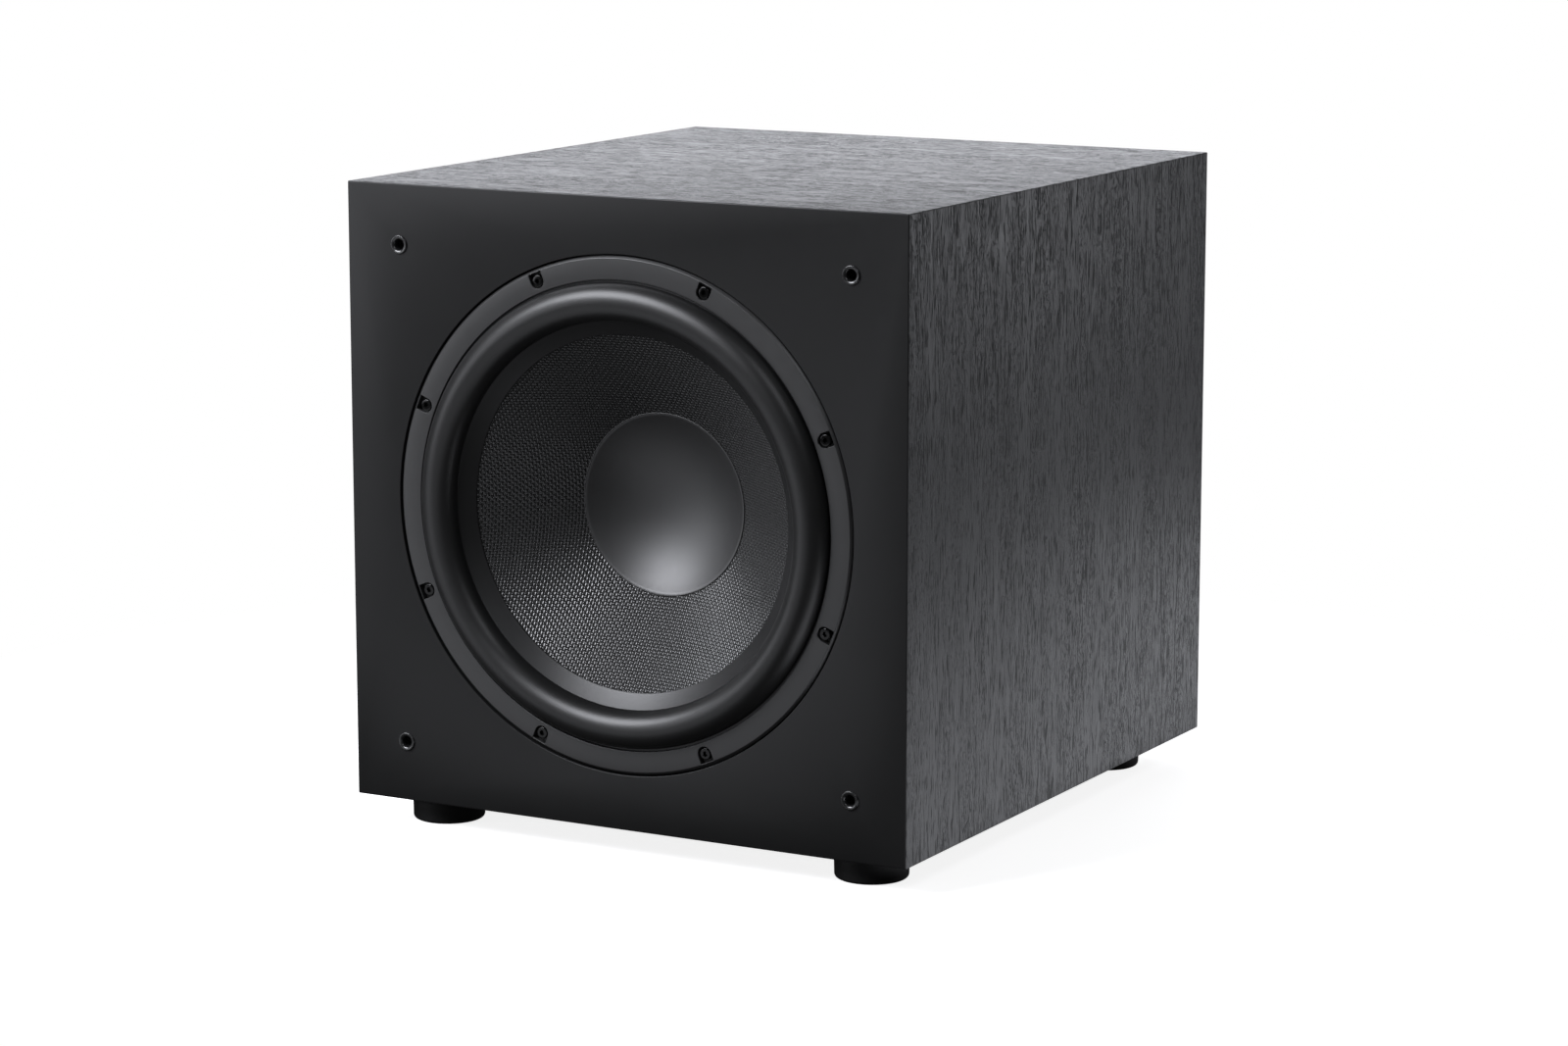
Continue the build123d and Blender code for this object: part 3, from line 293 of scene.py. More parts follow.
def moulded(name, colour, roughness, grain=0.02 * MM, scale=2500.0, specular=0.5, mottle=0.15, spread=0.02):
    """Plastic, paint or rubber: fine grain, faint mottling and an uneven sheen."""
    s = Surface(name)
    fine = s.noise(scale, 3.0, 0.6)
    broad = s.noise(25.0, 2.0)
    dark = shaded(colour, 1 - mottle)
    light = shaded(colour, 1 + mottle)
    s.set(
        Base_Color=s.mix(s.span(broad, 0.3, 0.7), dark, light),
        Roughness=s.span(s.noise(180.0), 0.3, 0.7, roughness - spread, roughness + spread),
        Normal=s.bump(fine, grain),
    )
    s.shader.inputs["Specular IOR Level"].default_value = specular
    return s.material


def metal(name, colour, roughness, stretch=(1, 1, 1), scale=900.0, grain=0.01 * MM):
    """Bare or plated metal, brushed along the axis in which the stretch is smallest."""
    s = Surface(name)
    lines = s.noise(scale, 3.0, 0.6, stretch)
    dull = s.noise(60.0, 3.0)
    s.set(
        Base_Color=s.mix(s.span(dull, 0.3, 0.7), shaded(colour, 0.8), colour),
        Metallic=1.0,
        Roughness=s.span(lines, 0.3, 0.7, roughness - 0.06, roughness + 0.08),
        Normal=s.bump(lines, grain),
    )
    return s.material


def along_axis(axis, factor):
    """A scale that stretches one axis only."""
    return [factor if i == axis else 1.0 for i in range(3)]


def veneer(name, grain_axis):
    """Black ash: long and short open pores along one axis on satin black, gently wandering."""
    s = Surface(name)
    sway = s.math("MULTIPLY", s.math("SUBTRACT", s.noise(9.0), 0.5), GRAIN_SWAY)
    shift = s.node("CombineXYZ", {"X": sway, "Y": sway, "Z": sway}).outputs[0]
    wandering = s.node("VectorMath", {0: s.here(), 1: shift}).outputs[0]
    mapped = s.scaled(wandering, along_axis(grain_axis, GRAIN_STRETCH))
    shorter = s.scaled(mapped, along_axis(grain_axis, SHORT_PORES))

    def streaks(scale, detail=2.0):
        return s.noise_at(mapped, scale, detail, 0.55)

    long_pores = s.span(streaks(640.0), 0.45, 0.36)
    short_pores = s.span(s.noise_at(shorter, 900.0, 2.0, 0.6), 0.47, 0.38)
    clusters = s.span(streaks(60.0), 0.35, 0.65)
    pores = s.math("MAXIMUM", long_pores, s.math("MULTIPLY", short_pores, clusters))
    pale = s.mix(s.span(streaks(110.0, 3.0), 0.35, 0.65), grey(0.022, -0.03), grey(0.032, -0.03))
    satin = s.span(streaks(250.0), 0.3, 0.7, 0.40, 0.50)
    s.set(
        Base_Color=s.mix(pores, pale, grey(0.008)),
        Roughness=s.math("ADD", satin, s.math("MULTIPLY", pores, 0.25)),
        Normal=s.bump(s.math("SUBTRACT", streaks(420.0, 3.0), s.math("MULTIPLY", pores, 1.5)), GRAIN_DEPTH),
    )
    return s.material


def weave_cloth(name, pitch):
    """Woven cone: plain weave of round coated yarns, upright and level ones on top by turns."""
    s = Surface(name)
    here = s.node("SeparateXYZ", {"Vector": s.here()})
    wave = math.pi / (pitch * MM)
    height = s.math("SUBTRACT", here.outputs["Z"], AXIS_Z)
    across = s.math("SINE", s.math("MULTIPLY", here.outputs["X"], wave))
    upward = s.math("SINE", s.math("MULTIPLY", height, wave))
    upright_on_top = s.span(s.math("MULTIPLY", across, upward), -0.03, 0.03)
    across, upward = s.math("ABSOLUTE", across), s.math("ABSOLUTE", upward)
    upright_yarn = s.math("MULTIPLY", across, s.span(upward, 0, 1, YARN_DIP, 1.0))
    level_yarn = s.math("MULTIPLY", upward, s.span(across, 0, 1, YARN_DIP, 1.0))
    difference = s.math("SUBTRACT", upright_yarn, level_yarn)
    relief = s.math("ADD", level_yarn, s.math("MULTIPLY", difference, upright_on_top))
    # Near black in the low places between the yarns: partly the dark resin in the gaps, partly painted shade
    # of those recesses.
    gap_dark_resin_and_painted_shade = s.span(relief, 0.62, 0.36)
    fibres = s.noise(1600.0, 3.0, 0.6)
    yarn = s.mix(s.span(fibres, 0.3, 0.7), grey(0.010), grey(0.016))
    s.set(
        Base_Color=s.mix(gap_dark_resin_and_painted_shade, yarn, grey(0.001)),
        Roughness=s.span(gap_dark_resin_and_painted_shade, 0.0, 1.0, 0.25, 1.0),
        Normal=s.bump(s.math("ADD", s.math("MULTIPLY", fibres, 0.02), relief), YARN_RELIEF),
    )
    s.shader.inputs["Specular IOR Level"].default_value = 1.0
    return s.material


def fibreboard():
    s = Surface("mdf_board")
    fibres = s.noise(900.0, 4.0, 0.7)
    colour = s.mix(s.span(fibres, 0.3, 0.7), (0.23, 0.14, 0.075, 1), (0.40, 0.27, 0.16, 1))
    s.set(Base_Color=colour, Roughness=0.9, Normal=s.bump(fibres, 0.05 * MM))
    return s.material


PAINTS = {
    "baffle_satin": moulded("satin_black_front", grey(0.010), 0.40, grain=0.006 * MM, scale=1400.0,
                            specular=0.3, mottle=0.05, spread=0.01),
    "trim_satin": moulded("satin_trim", grey(0.024), 0.38, grain=0.01 * MM, scale=3000.0,
                          specular=0.7, mottle=0.05),
    "foot_rubber": moulded("foot_rubber", grey(0.013), 0.55, grain=0.03 * MM),
    "screw_black": moulded("blackened_steel", grey(0.003), 0.14, grain=0.002 * MM, specular=0.4, spread=0.01),
    "socket_plastic": moulded("socket_plastic", grey(0.012), 0.26, grain=0.006 * MM, specular=0.9),
    "surround_rubber": moulded("butyl_rubber", grey(0.009), 0.39, grain=0.008 * MM, scale=3200.0,
                               specular=0.55, spread=0.006),
    "cap_satin": moulded("satin_cap", grey(0.012), 0.48, grain=0.012 * MM, scale=4200.0,
                         specular=1.0, spread=0.01),
    "cast_frame": moulded("painted_casting", grey(0.010), 0.5, grain=0.06 * MM, scale=1500.0),
    "foam": moulded("closed_foam", grey(0.02), 0.9, grain=0.1 * MM, scale=1800.0),
    "ferrite": moulded("ferrite", grey(0.06), 0.6, grain=0.03 * MM),
    "phenolic": moulded("phenolic_board", (0.16, 0.07, 0.03, 1), 0.5),
    "former": moulded("polyimide_former", (0.45, 0.20, 0.04, 1), 0.3, grain=0.005 * MM),
    "board_green": moulded("circuit_board", (0.01, 0.11, 0.04, 1), 0.35),
    "capacitor_sleeve": moulded("capacitor_sleeve", (0.015, 0.02, 0.05, 1), 0.3),
    "winding_tape": moulded("winding_tape", (0.50, 0.36, 0.05, 1), 0.4, scale=700.0),
    "wire_red_black": moulded("wire_jacket", grey(0.015), 0.4),
    "knob_plastic": moulded("knob_plastic", grey(0.012), 0.38, grain=0.02 * MM),
    "switch_black": moulded("switch_plastic", grey(0.012), 0.3, grain=0.01 * MM),
    "slider_white": moulded("slider_plastic", grey(0.55, 0.02), 0.4),
    "inlet_plastic": moulded("inlet_plastic", grey(0.014), 0.32, grain=0.015 * MM),
    "jack_insert": moulded("jack_insert", (0.45, 0.02, 0.02, 1), 0.35),
    "spider_cloth": moulded("spider_cloth", (0.42, 0.27, 0.10, 1), 0.8, grain=0.12 * MM, scale=1400.0),
    "wadding": moulded("polyester_wadding", grey(0.75, 0.02), 0.95, grain=0.8 * MM, scale=260.0),
    "fuse_glass": moulded("fuse_glass", grey(0.6), 0.05),
    "lamp_lens": moulded("lamp_lens", (0.02, 0.05, 0.35, 1), 0.12),
    "amp_black": moulded("powder_coat", grey(0.014), 0.48, grain=0.05 * MM, scale=1700.0),
    "screw_zinc": metal("zinc_plate", (0.62, 0.62, 0.60, 1), 0.35),
    "motor_steel": metal("blackened_plate", (0.10, 0.10, 0.11, 1), 0.42),
    "tin": metal("tinned_metal", (0.75, 0.74, 0.70, 1), 0.3),
    "tinsel": metal("tinsel_braid", (0.70, 0.45, 0.25, 1), 0.45, scale=2500.0, grain=0.15 * MM),
    "copper": metal("copper_winding", (0.78, 0.33, 0.16, 1), 0.3, (1, 20, 1), 300.0, 0.1 * MM),
    "brass_post": metal("brass", (0.72, 0.53, 0.24, 1), 0.3),
    "housing_steel": metal("galvanised_sheet", (0.55, 0.56, 0.57, 1), 0.4, scale=150.0),
    "shaft_alloy": metal("turned_alloy", (0.72, 0.72, 0.73, 1), 0.28),
    "jack_shell": metal("nickel_plate", (0.78, 0.76, 0.70, 1), 0.2),
    "mdf": fibreboard(),
}
UPRIGHT_VENEER = veneer("black_ash_upright", 2)
LEVEL_VENEER = veneer("black_ash_level", 0)
SLOT_OF = {entry["node"]: entry["material_slot"] for entry in frame["record"]["subparts"]}

# ---- cabinet
EDGE_RADIUS = 0.8
EDGE_STEPS = 4               # even, so that each mitre runs along the middle of the round
REAR_LOW, REAR_HIGH = local_box("rear_panel")
HALF_WIDTH = local_box("right_panel")[1][0]
HALF_HEIGHT = local_box("top_panel")[1][2]
CABINET_DEPTH = REAR_HIGH[1]
PANEL = CABINET_DEPTH - REAR_LOW[1]
BAFFLE = local_box("baffle")[1][1]
OUTER_LOW = np.array((-HALF_WIDTH, 0, -HALF_HEIGHT))
OUTER_HIGH = np.array((HALF_WIDTH, CABINET_DEPTH, HALF_HEIGHT))
INNER_LOW = OUTER_LOW + (PANEL, BAFFLE, PANEL)
INNER_HIGH = OUTER_HIGH - PANEL
CUTOUT = 141.0
REBATE = 157.0
REBATE_DEPTH = 9.5
SOCKET_X = 155.0
SOCKET_Z = 154.0
SOCKET_BARREL = 4.65
SOCKET_DEPTH = 15.0
AMP_HOLE = (102.0, 132.0)    # half the width and height of the hole behind the plate
NEAR = 0.01                  # two places closer than this are the same one


def circle(at, radius, depth, count):
    angles = np.arange(count) * 2 * math.pi / count
    x = at[0] + np.sin(angles) * radius
    return np.stack([x, np.full(count, depth), at[1] + np.cos(angles) * radius], -1)


def cabinet_skin():
    """The whole box as one shell with rounded edges."""
    bm = bmesh.new()
    bmesh.ops.create_cube(bm, size=1)
    size = OUTER_HIGH - OUTER_LOW
    for vert in bm.verts:
        vert.co = Vector(np.array(vert.co) * size + (OUTER_HIGH + OUTER_LOW) / 2)
    bmesh.ops.bevel(
        bm, geom=bm.edges[:], offset=EDGE_RADIUS, segments=EDGE_STEPS, profile=0.5, affect="EDGES"
    )
    bm.normal_update()
    bm.verts.index_update()
    return bm


def skin_faces(skin, axis, side):
    """The faces of the shell that belong to the board facing one way along an axis."""
    found = []
    for face in skin.faces:
        normal = np.array(face.normal)
        if np.argmax(np.abs(normal) + (0, 1e-4, 2e-4)) == axis and (normal[axis] > 0) == side:
            found.append(face)
    return found


def loop_of(bm, points):
    verts = [bm.verts.new(point) for point in points]
    return verts, [bm.edges.new((a, b)) for a, b in zip(verts, verts[1:] + verts[:1])]


def share_of_skin(bm, skin, axis, side):
    """Copies a board's share of the shell; returns its large face and the edges of its border."""
    copies = {}
    faces = []
    for face in skin_faces(skin, axis, side):
        for vert in face.verts:
            if vert.index not in copies:
                copies[vert.index] = bm.verts.new(vert.co)
        faces.append(bm.faces.new([copies[vert.index] for vert in face.verts]))
    border = [edge for edge in bm.edges if len(edge.link_faces) == 1]
    return max(faces, key=lambda face: face.calc_area()), border


def add_mitres(bm, border):
    """Slopes from the border in to the outline of the inner face."""
    inner = {}
    for vert in dict.fromkeys(vert for edge in border for vert in edge.verts):
        inner[vert] = bm.verts.new(np.clip(np.array(vert.co), INNER_LOW, INNER_HIGH))
    for edge in border:
        a, b = edge.verts
        bm.faces.new([a, b, inner[b], inner[a]]).material_index = 1
    bmesh.ops.remove_doubles(bm, verts=list(inner.values()), dist=NEAR)


def add_cuts(bm, cuts):
    """Makes the walls of the cuts; returns their edges in the outer and in the inner face."""
    outside = []
    inside = []
    for loops, capped in cuts:
        verts, edges = loop_of(bm, loops[0])
        outside += edges
        for points in loops[1:]:
            next_verts, edges = loop_of(bm, points)
            for i in range(len(verts)):
                j = (i + 1) % len(verts)
                bm.faces.new([verts[i], verts[j], next_verts[j], next_verts[i]])
            verts = next_verts
        if capped:
            bm.faces.new(verts)
        else:
            inside += edges
    return outside, inside


def panel(name, skin, axis, side, materials, cuts=()):
    """One mitred board: its share of the shell, the mitres, the inner face, and any cuts.
    A cut is a list of loops from the outer face inwards; with no cap it comes out inside."""
    bm = bmesh.new()
    largest, border = share_of_skin(bm, skin, axis, side)
    outside = largest.edges[:]
    bmesh.ops.delete(bm, geom=[largest], context="FACES_ONLY")
    add_mitres(bm, border)
    level = (INNER_HIGH if side else INNER_LOW)[axis]
    inside = [edge for edge in bm.edges if all(abs(vert.co[axis] - level) < NEAR for vert in edge.verts)]
    cut_outside, cut_inside = add_cuts(bm, cuts)
    direction = [0.0, 0.0, 0.0]
    direction[axis] = 1.0 if side else -1.0
    bmesh.ops.triangle_fill(bm, edges=outside + cut_outside, use_beauty=True, normal=direction)
    made = bmesh.ops.triangle_fill(bm, edges=inside + cut_inside, use_beauty=True, normal=direction)
    for item in made["geom"]:
        if isinstance(item, bmesh.types.BMFace):
            item.material_index = 1
    bmesh.ops.dissolve_degenerate(bm, edges=bm.edges, dist=NEAR / 10)
    bmesh.ops.recalc_face_normals(bm, faces=bm.faces)
    for vert in bm.verts:
        vert.co = world(vert.co)
    mesh = mesh_of(bm, name)
    smooth(mesh)
    add_piece(name + "_board", mesh, materials, "cabinet", [name])


def driver_cut():
    """The stepped hole for the driver, its front edge just broken."""
    break_edge = 0.35
    steps = rounded([(REBATE + 3, 0), (REBATE, 0, break_edge), (REBATE, REBATE_DEPTH)], 3)[1:]
    levels = [*steps, (CUTOUT, REBATE_DEPTH), (CUTOUT, BAFFLE)]
    return [circle((0, 0), radius, depth, TURNS) for radius, depth in levels], False


def socket_cuts():
    cuts = []
    for sx in (-1, 1):
        for sz in (-1, 1):
            at = (sx * SOCKET_X, sz * SOCKET_Z)
            cuts.append(([circle(at, SOCKET_BARREL, depth, 24) for depth in (0, SOCKET_DEPTH)], True))
    return cuts


def amp_cut():
    """The square hole behind the amplifier plate."""
    half_x, half_z = AMP_HOLE
    corners = ((-half_x, -half_z), (half_x, -half_z), (half_x, half_z), (-half_x, half_z))
    return [[(x, depth, z) for x, z in corners] for depth in (CABINET_DEPTH, INNER_HIGH[1])], False


def cabinet():
    skin = cabinet_skin()
    mdf = PAINTS["mdf"]
    upright_set = [UPRIGHT_VENEER, mdf]
    level_set = [LEVEL_VENEER, mdf]
    front_set = [PAINTS["baffle_satin"], mdf]
    panel("baffle", skin, 1, False, front_set, [driver_cut(), *socket_cuts()])
    panel("rear_panel", skin, 1, True, upright_set, [amp_cut()])
    panel("left_panel", skin, 0, False, upright_set)
    panel("right_panel", skin, 0, True, upright_set)
    panel("bottom_panel", skin, 2, False, level_set)
    panel("top_panel", skin, 2, True, level_set)
    skin.free()


# ---- trim ring and screws
RING_OUTER = 156.0
RING_INNER = 141.8
RING_BACK = 4.0
RING_CHAMFER = 1.5
LAND_OUTER = 144.5
LAND_DEPTH = 2.0
SCREW_COUNT = 8
SCREW_CIRCLE = 149.0
NOTCH = 4.5
NOTCH_FLARE = 0.3            # width of the broken edge round a notch
RING_TURNS = 384
SCREW_TURN = 0.7             # from one screw's socket to the next one's, in radians
SCREW_ROUND = 0.6
KEY_CHAMFER = 0.15
# Radii and lengths of a screw; its key is the corner radius of the hexagon socket
DRIVER_SCREW = {"front": 0.8, "head": 3.6, "length": 3.2, "shank": 2.2, "end": 24.0,
                "key": 1.7, "key_depth": 1.9}


def screw_angles():
    return [math.radians(22.5 + 360 / SCREW_COUNT * i) for i in range(SCREW_COUNT)]


def notch_cutter(angle):
    """A U-shaped plug that stops at the ring's chamfer and flares in front to break the edge."""
    rim = RING_OUTER - RING_CHAMFER - 0.4
    radial = np.array((math.sin(angle), math.cos(angle)))
    sideways = np.array((radial[1], -radial[0]))
    rows = []
    levels = ((-1.0, NOTCH_FLARE + 1.0), (0.0, NOTCH_FLARE), (NOTCH_FLARE, 0.0), (RING_BACK + 1, 0.0))
    for depth, grow in levels:
        radius = NOTCH + grow
        flat = [(rim + grow, radius)]
        for t in np.linspace(0, math.pi, 25):
            flat.append((SCREW_CIRCLE - math.sin(t) * radius, math.cos(t) * radius))
        flat.append((rim + grow, -radius))
        spots = [radial * u + sideways * v for u, v in flat]
        rows.append([(x, depth, z) for x, z in spots])
    points, faces = grid(np.array(rows).transpose(1, 0, 2), wrap=True)
    count = len(rows)
    ends = [[i * count for i in range(len(points) // count)]]
    ends.append([i * count + count - 1 for i in range(len(points) // count)])
    return points, faces + ends


def subtract(piece, cutter_shape):
    """Cuts a shape out of a piece and keeps the result as its mesh."""
    cutter = linked("cutter", make_mesh("cutter", cutter_shape))
    step = piece.modifiers.new("cut", "BOOLEAN")
    step.operation = "DIFFERENCE"
    step.solver = "EXACT"
    step.object = cutter
    settled(piece)
    bpy.data.objects.remove(cutter)
    smooth(piece.data)


def settled(piece):
    """Applies a piece's modifiers."""
    depsgraph = bpy.context.evaluated_depsgraph_get()
    mesh = bpy.data.meshes.new_from_object(piece.evaluated_get(depsgraph))
    piece.modifiers.clear()
    piece.data = mesh


def trim_ring():
    outline = rounded([
        (RING_INNER, LAND_DEPTH, 0.3),
        (RING_INNER, 0, 0.5),
        (RING_OUTER - RING_CHAMFER, 0, 0.4),
        (RING_OUTER, RING_CHAMFER, 0.4),
        (RING_OUTER, RING_BACK),
        (LAND_OUTER, RING_BACK),
        (LAND_OUTER, LAND_DEPTH),
    ], 4)
    outline = np.vstack([outline, outline[:1]])
    shape = turned(outline, RING_TURNS)
    piece = model("trim_ring_cover", shape, PAINTS["trim_satin"], "cabinet", "trim_satin", "trim_ring")
    subtract(piece, joined([notch_cutter(angle) for angle in screw_angles()]))


def hexagon(at, corner, depth, count, turn):
    """A hexagon as a loop of as many points as a circle, to bridge the two."""
    points = []
    for i in range(count):
        angle = 2 * math.pi * i / count
        within = (angle - turn) % (math.pi / 3) - math.pi / 6
        radius = corner * math.cos(math.pi / 6) / math.cos(within)
        points.append((at[0] + math.sin(angle) * radius, depth, at[1] + math.cos(angle) * radius))
    return np.array(points)


def socket_screw(at, turn, front, head, length, shank, end, key, key_depth):
    """A cap screw with a hexagon socket, its head towards lower depth."""
    count = SMALL_TURNS
    side = rounded([
        (key + 2 * KEY_CHAMFER, front),
        (head, front, SCREW_ROUND),
        (head, front + length),
        (shank, front + length),
        (shank, end),
    ], 5)
    loops = [np.repeat([[at[0], front + key_depth, at[1]]], count, 0)]
    for corner, depth in ((key, front + key_depth), (key, front + KEY_CHAMFER), (key + KEY_CHAMFER, front)):
        loops.append(hexagon(at, corner, depth, count, turn))
    loops += [circle(at, radius, depth, count) for radius, depth in side]
    loops.append(np.repeat([[at[0], end, at[1]]], count, 0))
    return grid(np.array(loops).transpose(1, 0, 2), wrap=True)


def driver_screws():
    shapes = []
    for number, angle in enumerate(screw_angles()):
        at = (math.sin(angle) * SCREW_CIRCLE, math.cos(angle) * SCREW_CIRCLE)
        shapes.append(socket_screw(at, number * SCREW_TURN, **DRIVER_SCREW))
    paint = PAINTS["screw_black"]
    model("driver_cap_screws", joined(shapes), paint, "cabinet", "screw_black", "driver_screws")


# ---- moving parts of the driver
ROLL_CENTRE = 128.9
ROLL_RADIUS = 11.5
ROLL_BASE = 2.0
RUBBER = 1.6
SURROUND_OUTER = 144.2
SURROUND_BACK = 4.0
SURROUND_TURNS = 320
GLUE_INNER = 108.2
GLUE_DEPTH = 10.0
GLUE_EDGE = 1.0              # from the land's inner edge to its full thickness
CONE_ANGLE = math.radians(37.2)
CONE_FRONT = 11.05           # depth of the cone's face at the land's inner edge
CONE_OUTER = 118.0
CONE_WALL = 1.4
CONE_BACKING = 0.6           # share of the wall that lies behind the woven face
NECK = 25.8
CAP_RADIUS = 55.5
CAP_RIM = 50.0
CAP_DISH = 19.0
CAP_WALL = 0.7
CAP_LIP = 0.7
CAP_LIP_INNER = 54.0
WEAVE_PITCH = 1.7
WEAVE_RELIEF = 0.14
WEAVE_STEP = WEAVE_PITCH / 3


def cone_depth(radius):
    return CONE_FRONT + (GLUE_INNER - radius) * math.tan(CONE_ANGLE)


def arc(centre, radius, start, end, steps):
    angles = np.radians(np.linspace(start, end, steps + 1))
    return [(centre[0] + radius * math.cos(a), centre[1] - radius * math.sin(a)) for a in angles]


def surround():
    """Half-roll with a rounded root on each side and a stepped glue land."""
    inside = ROLL_RADIUS - RUBBER
    middle = (ROLL_CENTRE, ROLL_BASE)
    ends = [(SURROUND_OUTER, SURROUND_BACK), (SURROUND_OUTER, ROLL_BASE)]
    outline = [*ends, (ROLL_CENTRE + ROLL_RADIUS, ROLL_BASE)]
    outline += arc(middle, ROLL_RADIUS, 0, 180, 36)
    root = ROLL_CENTRE - ROLL_RADIUS
    outline += list(rounded([
        (root, ROLL_BASE),
        (root - 0.15, ROLL_BASE + 1.0, 0.6),
        (GLUE_INNER + GLUE_EDGE, GLUE_DEPTH - 0.65, 0.5),
        (GLUE_INNER, GLUE_DEPTH + 0.1, 0.3),
        (GLUE_INNER, CONE_FRONT - 0.05),
    ], 4)[1:])
    lip = ROLL_CENTRE - inside
    outline += [(lip, cone_depth(lip) - 0.05), (lip, ROLL_BASE)]
    outline += arc(middle, inside, 180, 0, 30)
    outline += [(ROLL_CENTRE + inside, SURROUND_BACK), ends[0]]
    shape = turned(outline, SURROUND_TURNS)
    piece = model("surround_roll", shape, PAINTS["surround_rubber"], None, "surround_rubber", "surround")
    stretch_between(piece)


def stretch_between(piece):
    """Bakes the piece's placement into its mesh; it rides on no body."""
    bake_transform(piece)


def woven_face():
    """The cone's face as a relief of the weave, on a square lattice of its own pitch."""
    reach = GLUE_INNER + 1.4
    start = CAP_RADIUS - 1.4
    half = int(reach / WEAVE_STEP) + 2
    line = np.arange(-half, half + 1) * WEAVE_STEP
    x, z = np.meshgrid(line, line, indexing="ij")
    centre = np.hypot(x[:-1, :-1] + WEAVE_STEP / 2, z[:-1, :-1] + WEAVE_STEP / 2)
    kept = np.argwhere((centre > start) & (centre < reach))
    columns = len(line)
    first = kept[:, 0] * columns + kept[:, 1]
    quads = np.stack([first, first + columns, first + columns + 1, first + 1], -1)
    used, renumbered = np.unique(quads, return_inverse=True)
    quads = renumbered.reshape(quads.shape)
    x, z = x.ravel()[used], z.ravel()[used]
    both = np.sin(math.pi * x / WEAVE_PITCH) * np.sin(math.pi * z / WEAVE_PITCH)
    radius = np.hypot(x, z)
    depth = cone_depth(radius) + WEAVE_RELIEF * both
    return np.stack([x, depth, z], -1), quads.tolist()


def cone():
    """The cone's wall, stepped back between the land and the cap to take the woven face."""
    wall = CONE_WALL / math.cos(CONE_ANGLE)
    outer = GLUE_INNER + GLUE_EDGE
    inner = CAP_RADIUS - 2.2
    steps = ((CONE_OUTER, 0), (outer, 0), (outer, CONE_BACKING), (inner, CONE_BACKING), (inner, 0))
    steps += ((NECK, 0), (NECK, 1), (CONE_OUTER, 1), (CONE_OUTER, 0))
    outline = [(radius, cone_depth(radius) + wall * share) for radius, share in steps]
    material = weave_cloth("woven_fibre", WEAVE_PITCH)
    model("woven_cone", turned(outline), material, "cone_assembly", "woven_cone", "cone")
    face = model("woven_cone_face", woven_face(), material, "cone_assembly", "woven_cone")
    face.data.shade_smooth()


def dust_cap():
    """A thin dish with a small flat lip, whose middle is its deepest point."""
    sphere = (CAP_RADIUS**2 + CAP_DISH**2) / (2 * CAP_DISH)
    middle = CAP_RIM + CAP_DISH - sphere
    spread = math.asin(CAP_RADIUS / sphere)
    outline = []
    for t in np.linspace(0, spread * 0.985, 60):
        outline.append((sphere * math.sin(t), middle + sphere * math.cos(t)))
    outline += list(rounded([
        (CAP_RADIUS, CAP_RIM + 0.35),
        (CAP_RADIUS + 0.15, CAP_RIM, 0.12),
        (CAP_RADIUS + CAP_LIP, CAP_RIM, 0.3),
        (CAP_RADIUS + CAP_LIP, cone_depth(CAP_RADIUS + CAP_LIP)),
        (CAP_LIP_INNER, cone_depth(CAP_LIP_INNER)),
    ], 4))
    back = sphere + CAP_WALL
    for t in np.linspace(math.asin(CAP_LIP_INNER / back), 0, 40):
        outline.append((back * math.sin(t), middle + back * math.cos(t)))
    model("dust_cap_dish", turned(outline), PAINTS["cap_satin"], "cone_assembly", "cap_satin", "dust_cap")


# ---- sockets and feet
SOCKET_BORE = 3.15
SOCKET_BORE_END = 11.0
SOCKET_BODY = 4.6
SOCKET_LENGTH = 14.0
SOCKET_FLANGE = 5.9
SOCKET_PROUD = 1.0
FOOT_HOLE = 2.55
FOOT_WELL = 8.0
FOOT_WELL_DEPTH = 9.0
FOOT_GROOVES = (12.0, 17.0)
GROOVE_WIDTH = 1.0
GROOVE_DEPTH = 0.8
FOOT_EDGE = 2.5
FOOT_TURNS = 96


def grille_sockets():
    """Plastic ferrules with a rounded mouth and a bevelled flange."""
    outline = rounded([
        (0, SOCKET_BORE_END),
        (SOCKET_BORE, SOCKET_BORE_END),
        (SOCKET_BORE, -SOCKET_PROUD, 1.7),
        (SOCKET_FLANGE - 0.4, -SOCKET_PROUD, 0.4),
        (SOCKET_FLANGE, -0.1, 0.1),
        (SOCKET_FLANGE, 0),
        (SOCKET_BODY, 0),
        (SOCKET_BODY, SOCKET_LENGTH),
        (0, SOCKET_LENGTH),
    ], 4)
    shapes = []
    for sx in (-1, 1):
        for sz in (-1, 1):
            shapes.append(turned(outline, SMALL_TURNS, (sx * SOCKET_X, sz * SOCKET_Z)))
    paint = PAINTS["socket_plastic"]
    model("grille_socket_set", joined(shapes), paint, "cabinet", "socket_plastic", "grille_sockets")


def foot_outline(radius, base, top):
    outline = [(FOOT_HOLE, top), (FOOT_HOLE, base + FOOT_WELL_DEPTH), (FOOT_WELL, base + FOOT_WELL_DEPTH)]
    outline.append((FOOT_WELL, base, 0.5))
    for near in FOOT_GROOVES:
        far = near + GROOVE_WIDTH
        roof = base + GROOVE_DEPTH
        outline += [(near, base, 0.3), (near, roof), (far, roof), (far, base, 0.3)]
    outline += [(radius - 0.4, base, FOOT_EDGE), (radius, top, 0.4), (FOOT_HOLE, top)]
    return rounded(outline, 5)


def feet():
    """Rubber pucks: rounded tread with two grooves underneath and a well for the screw."""
    for name in ("front_left", "front_right", "rear_left", "rear_right"):
        node = "foot_" + name
        low, high = local_box(node)
        outline = foot_outline((high[0] - low[0]) / 2, low[2], high[2])
        shape = upright(outline, middle_of(node)[:2], FOOT_TURNS)
        model(node + "_rubber", shape, PAINTS["foot_rubber"], "cabinet", "foot_rubber", node)


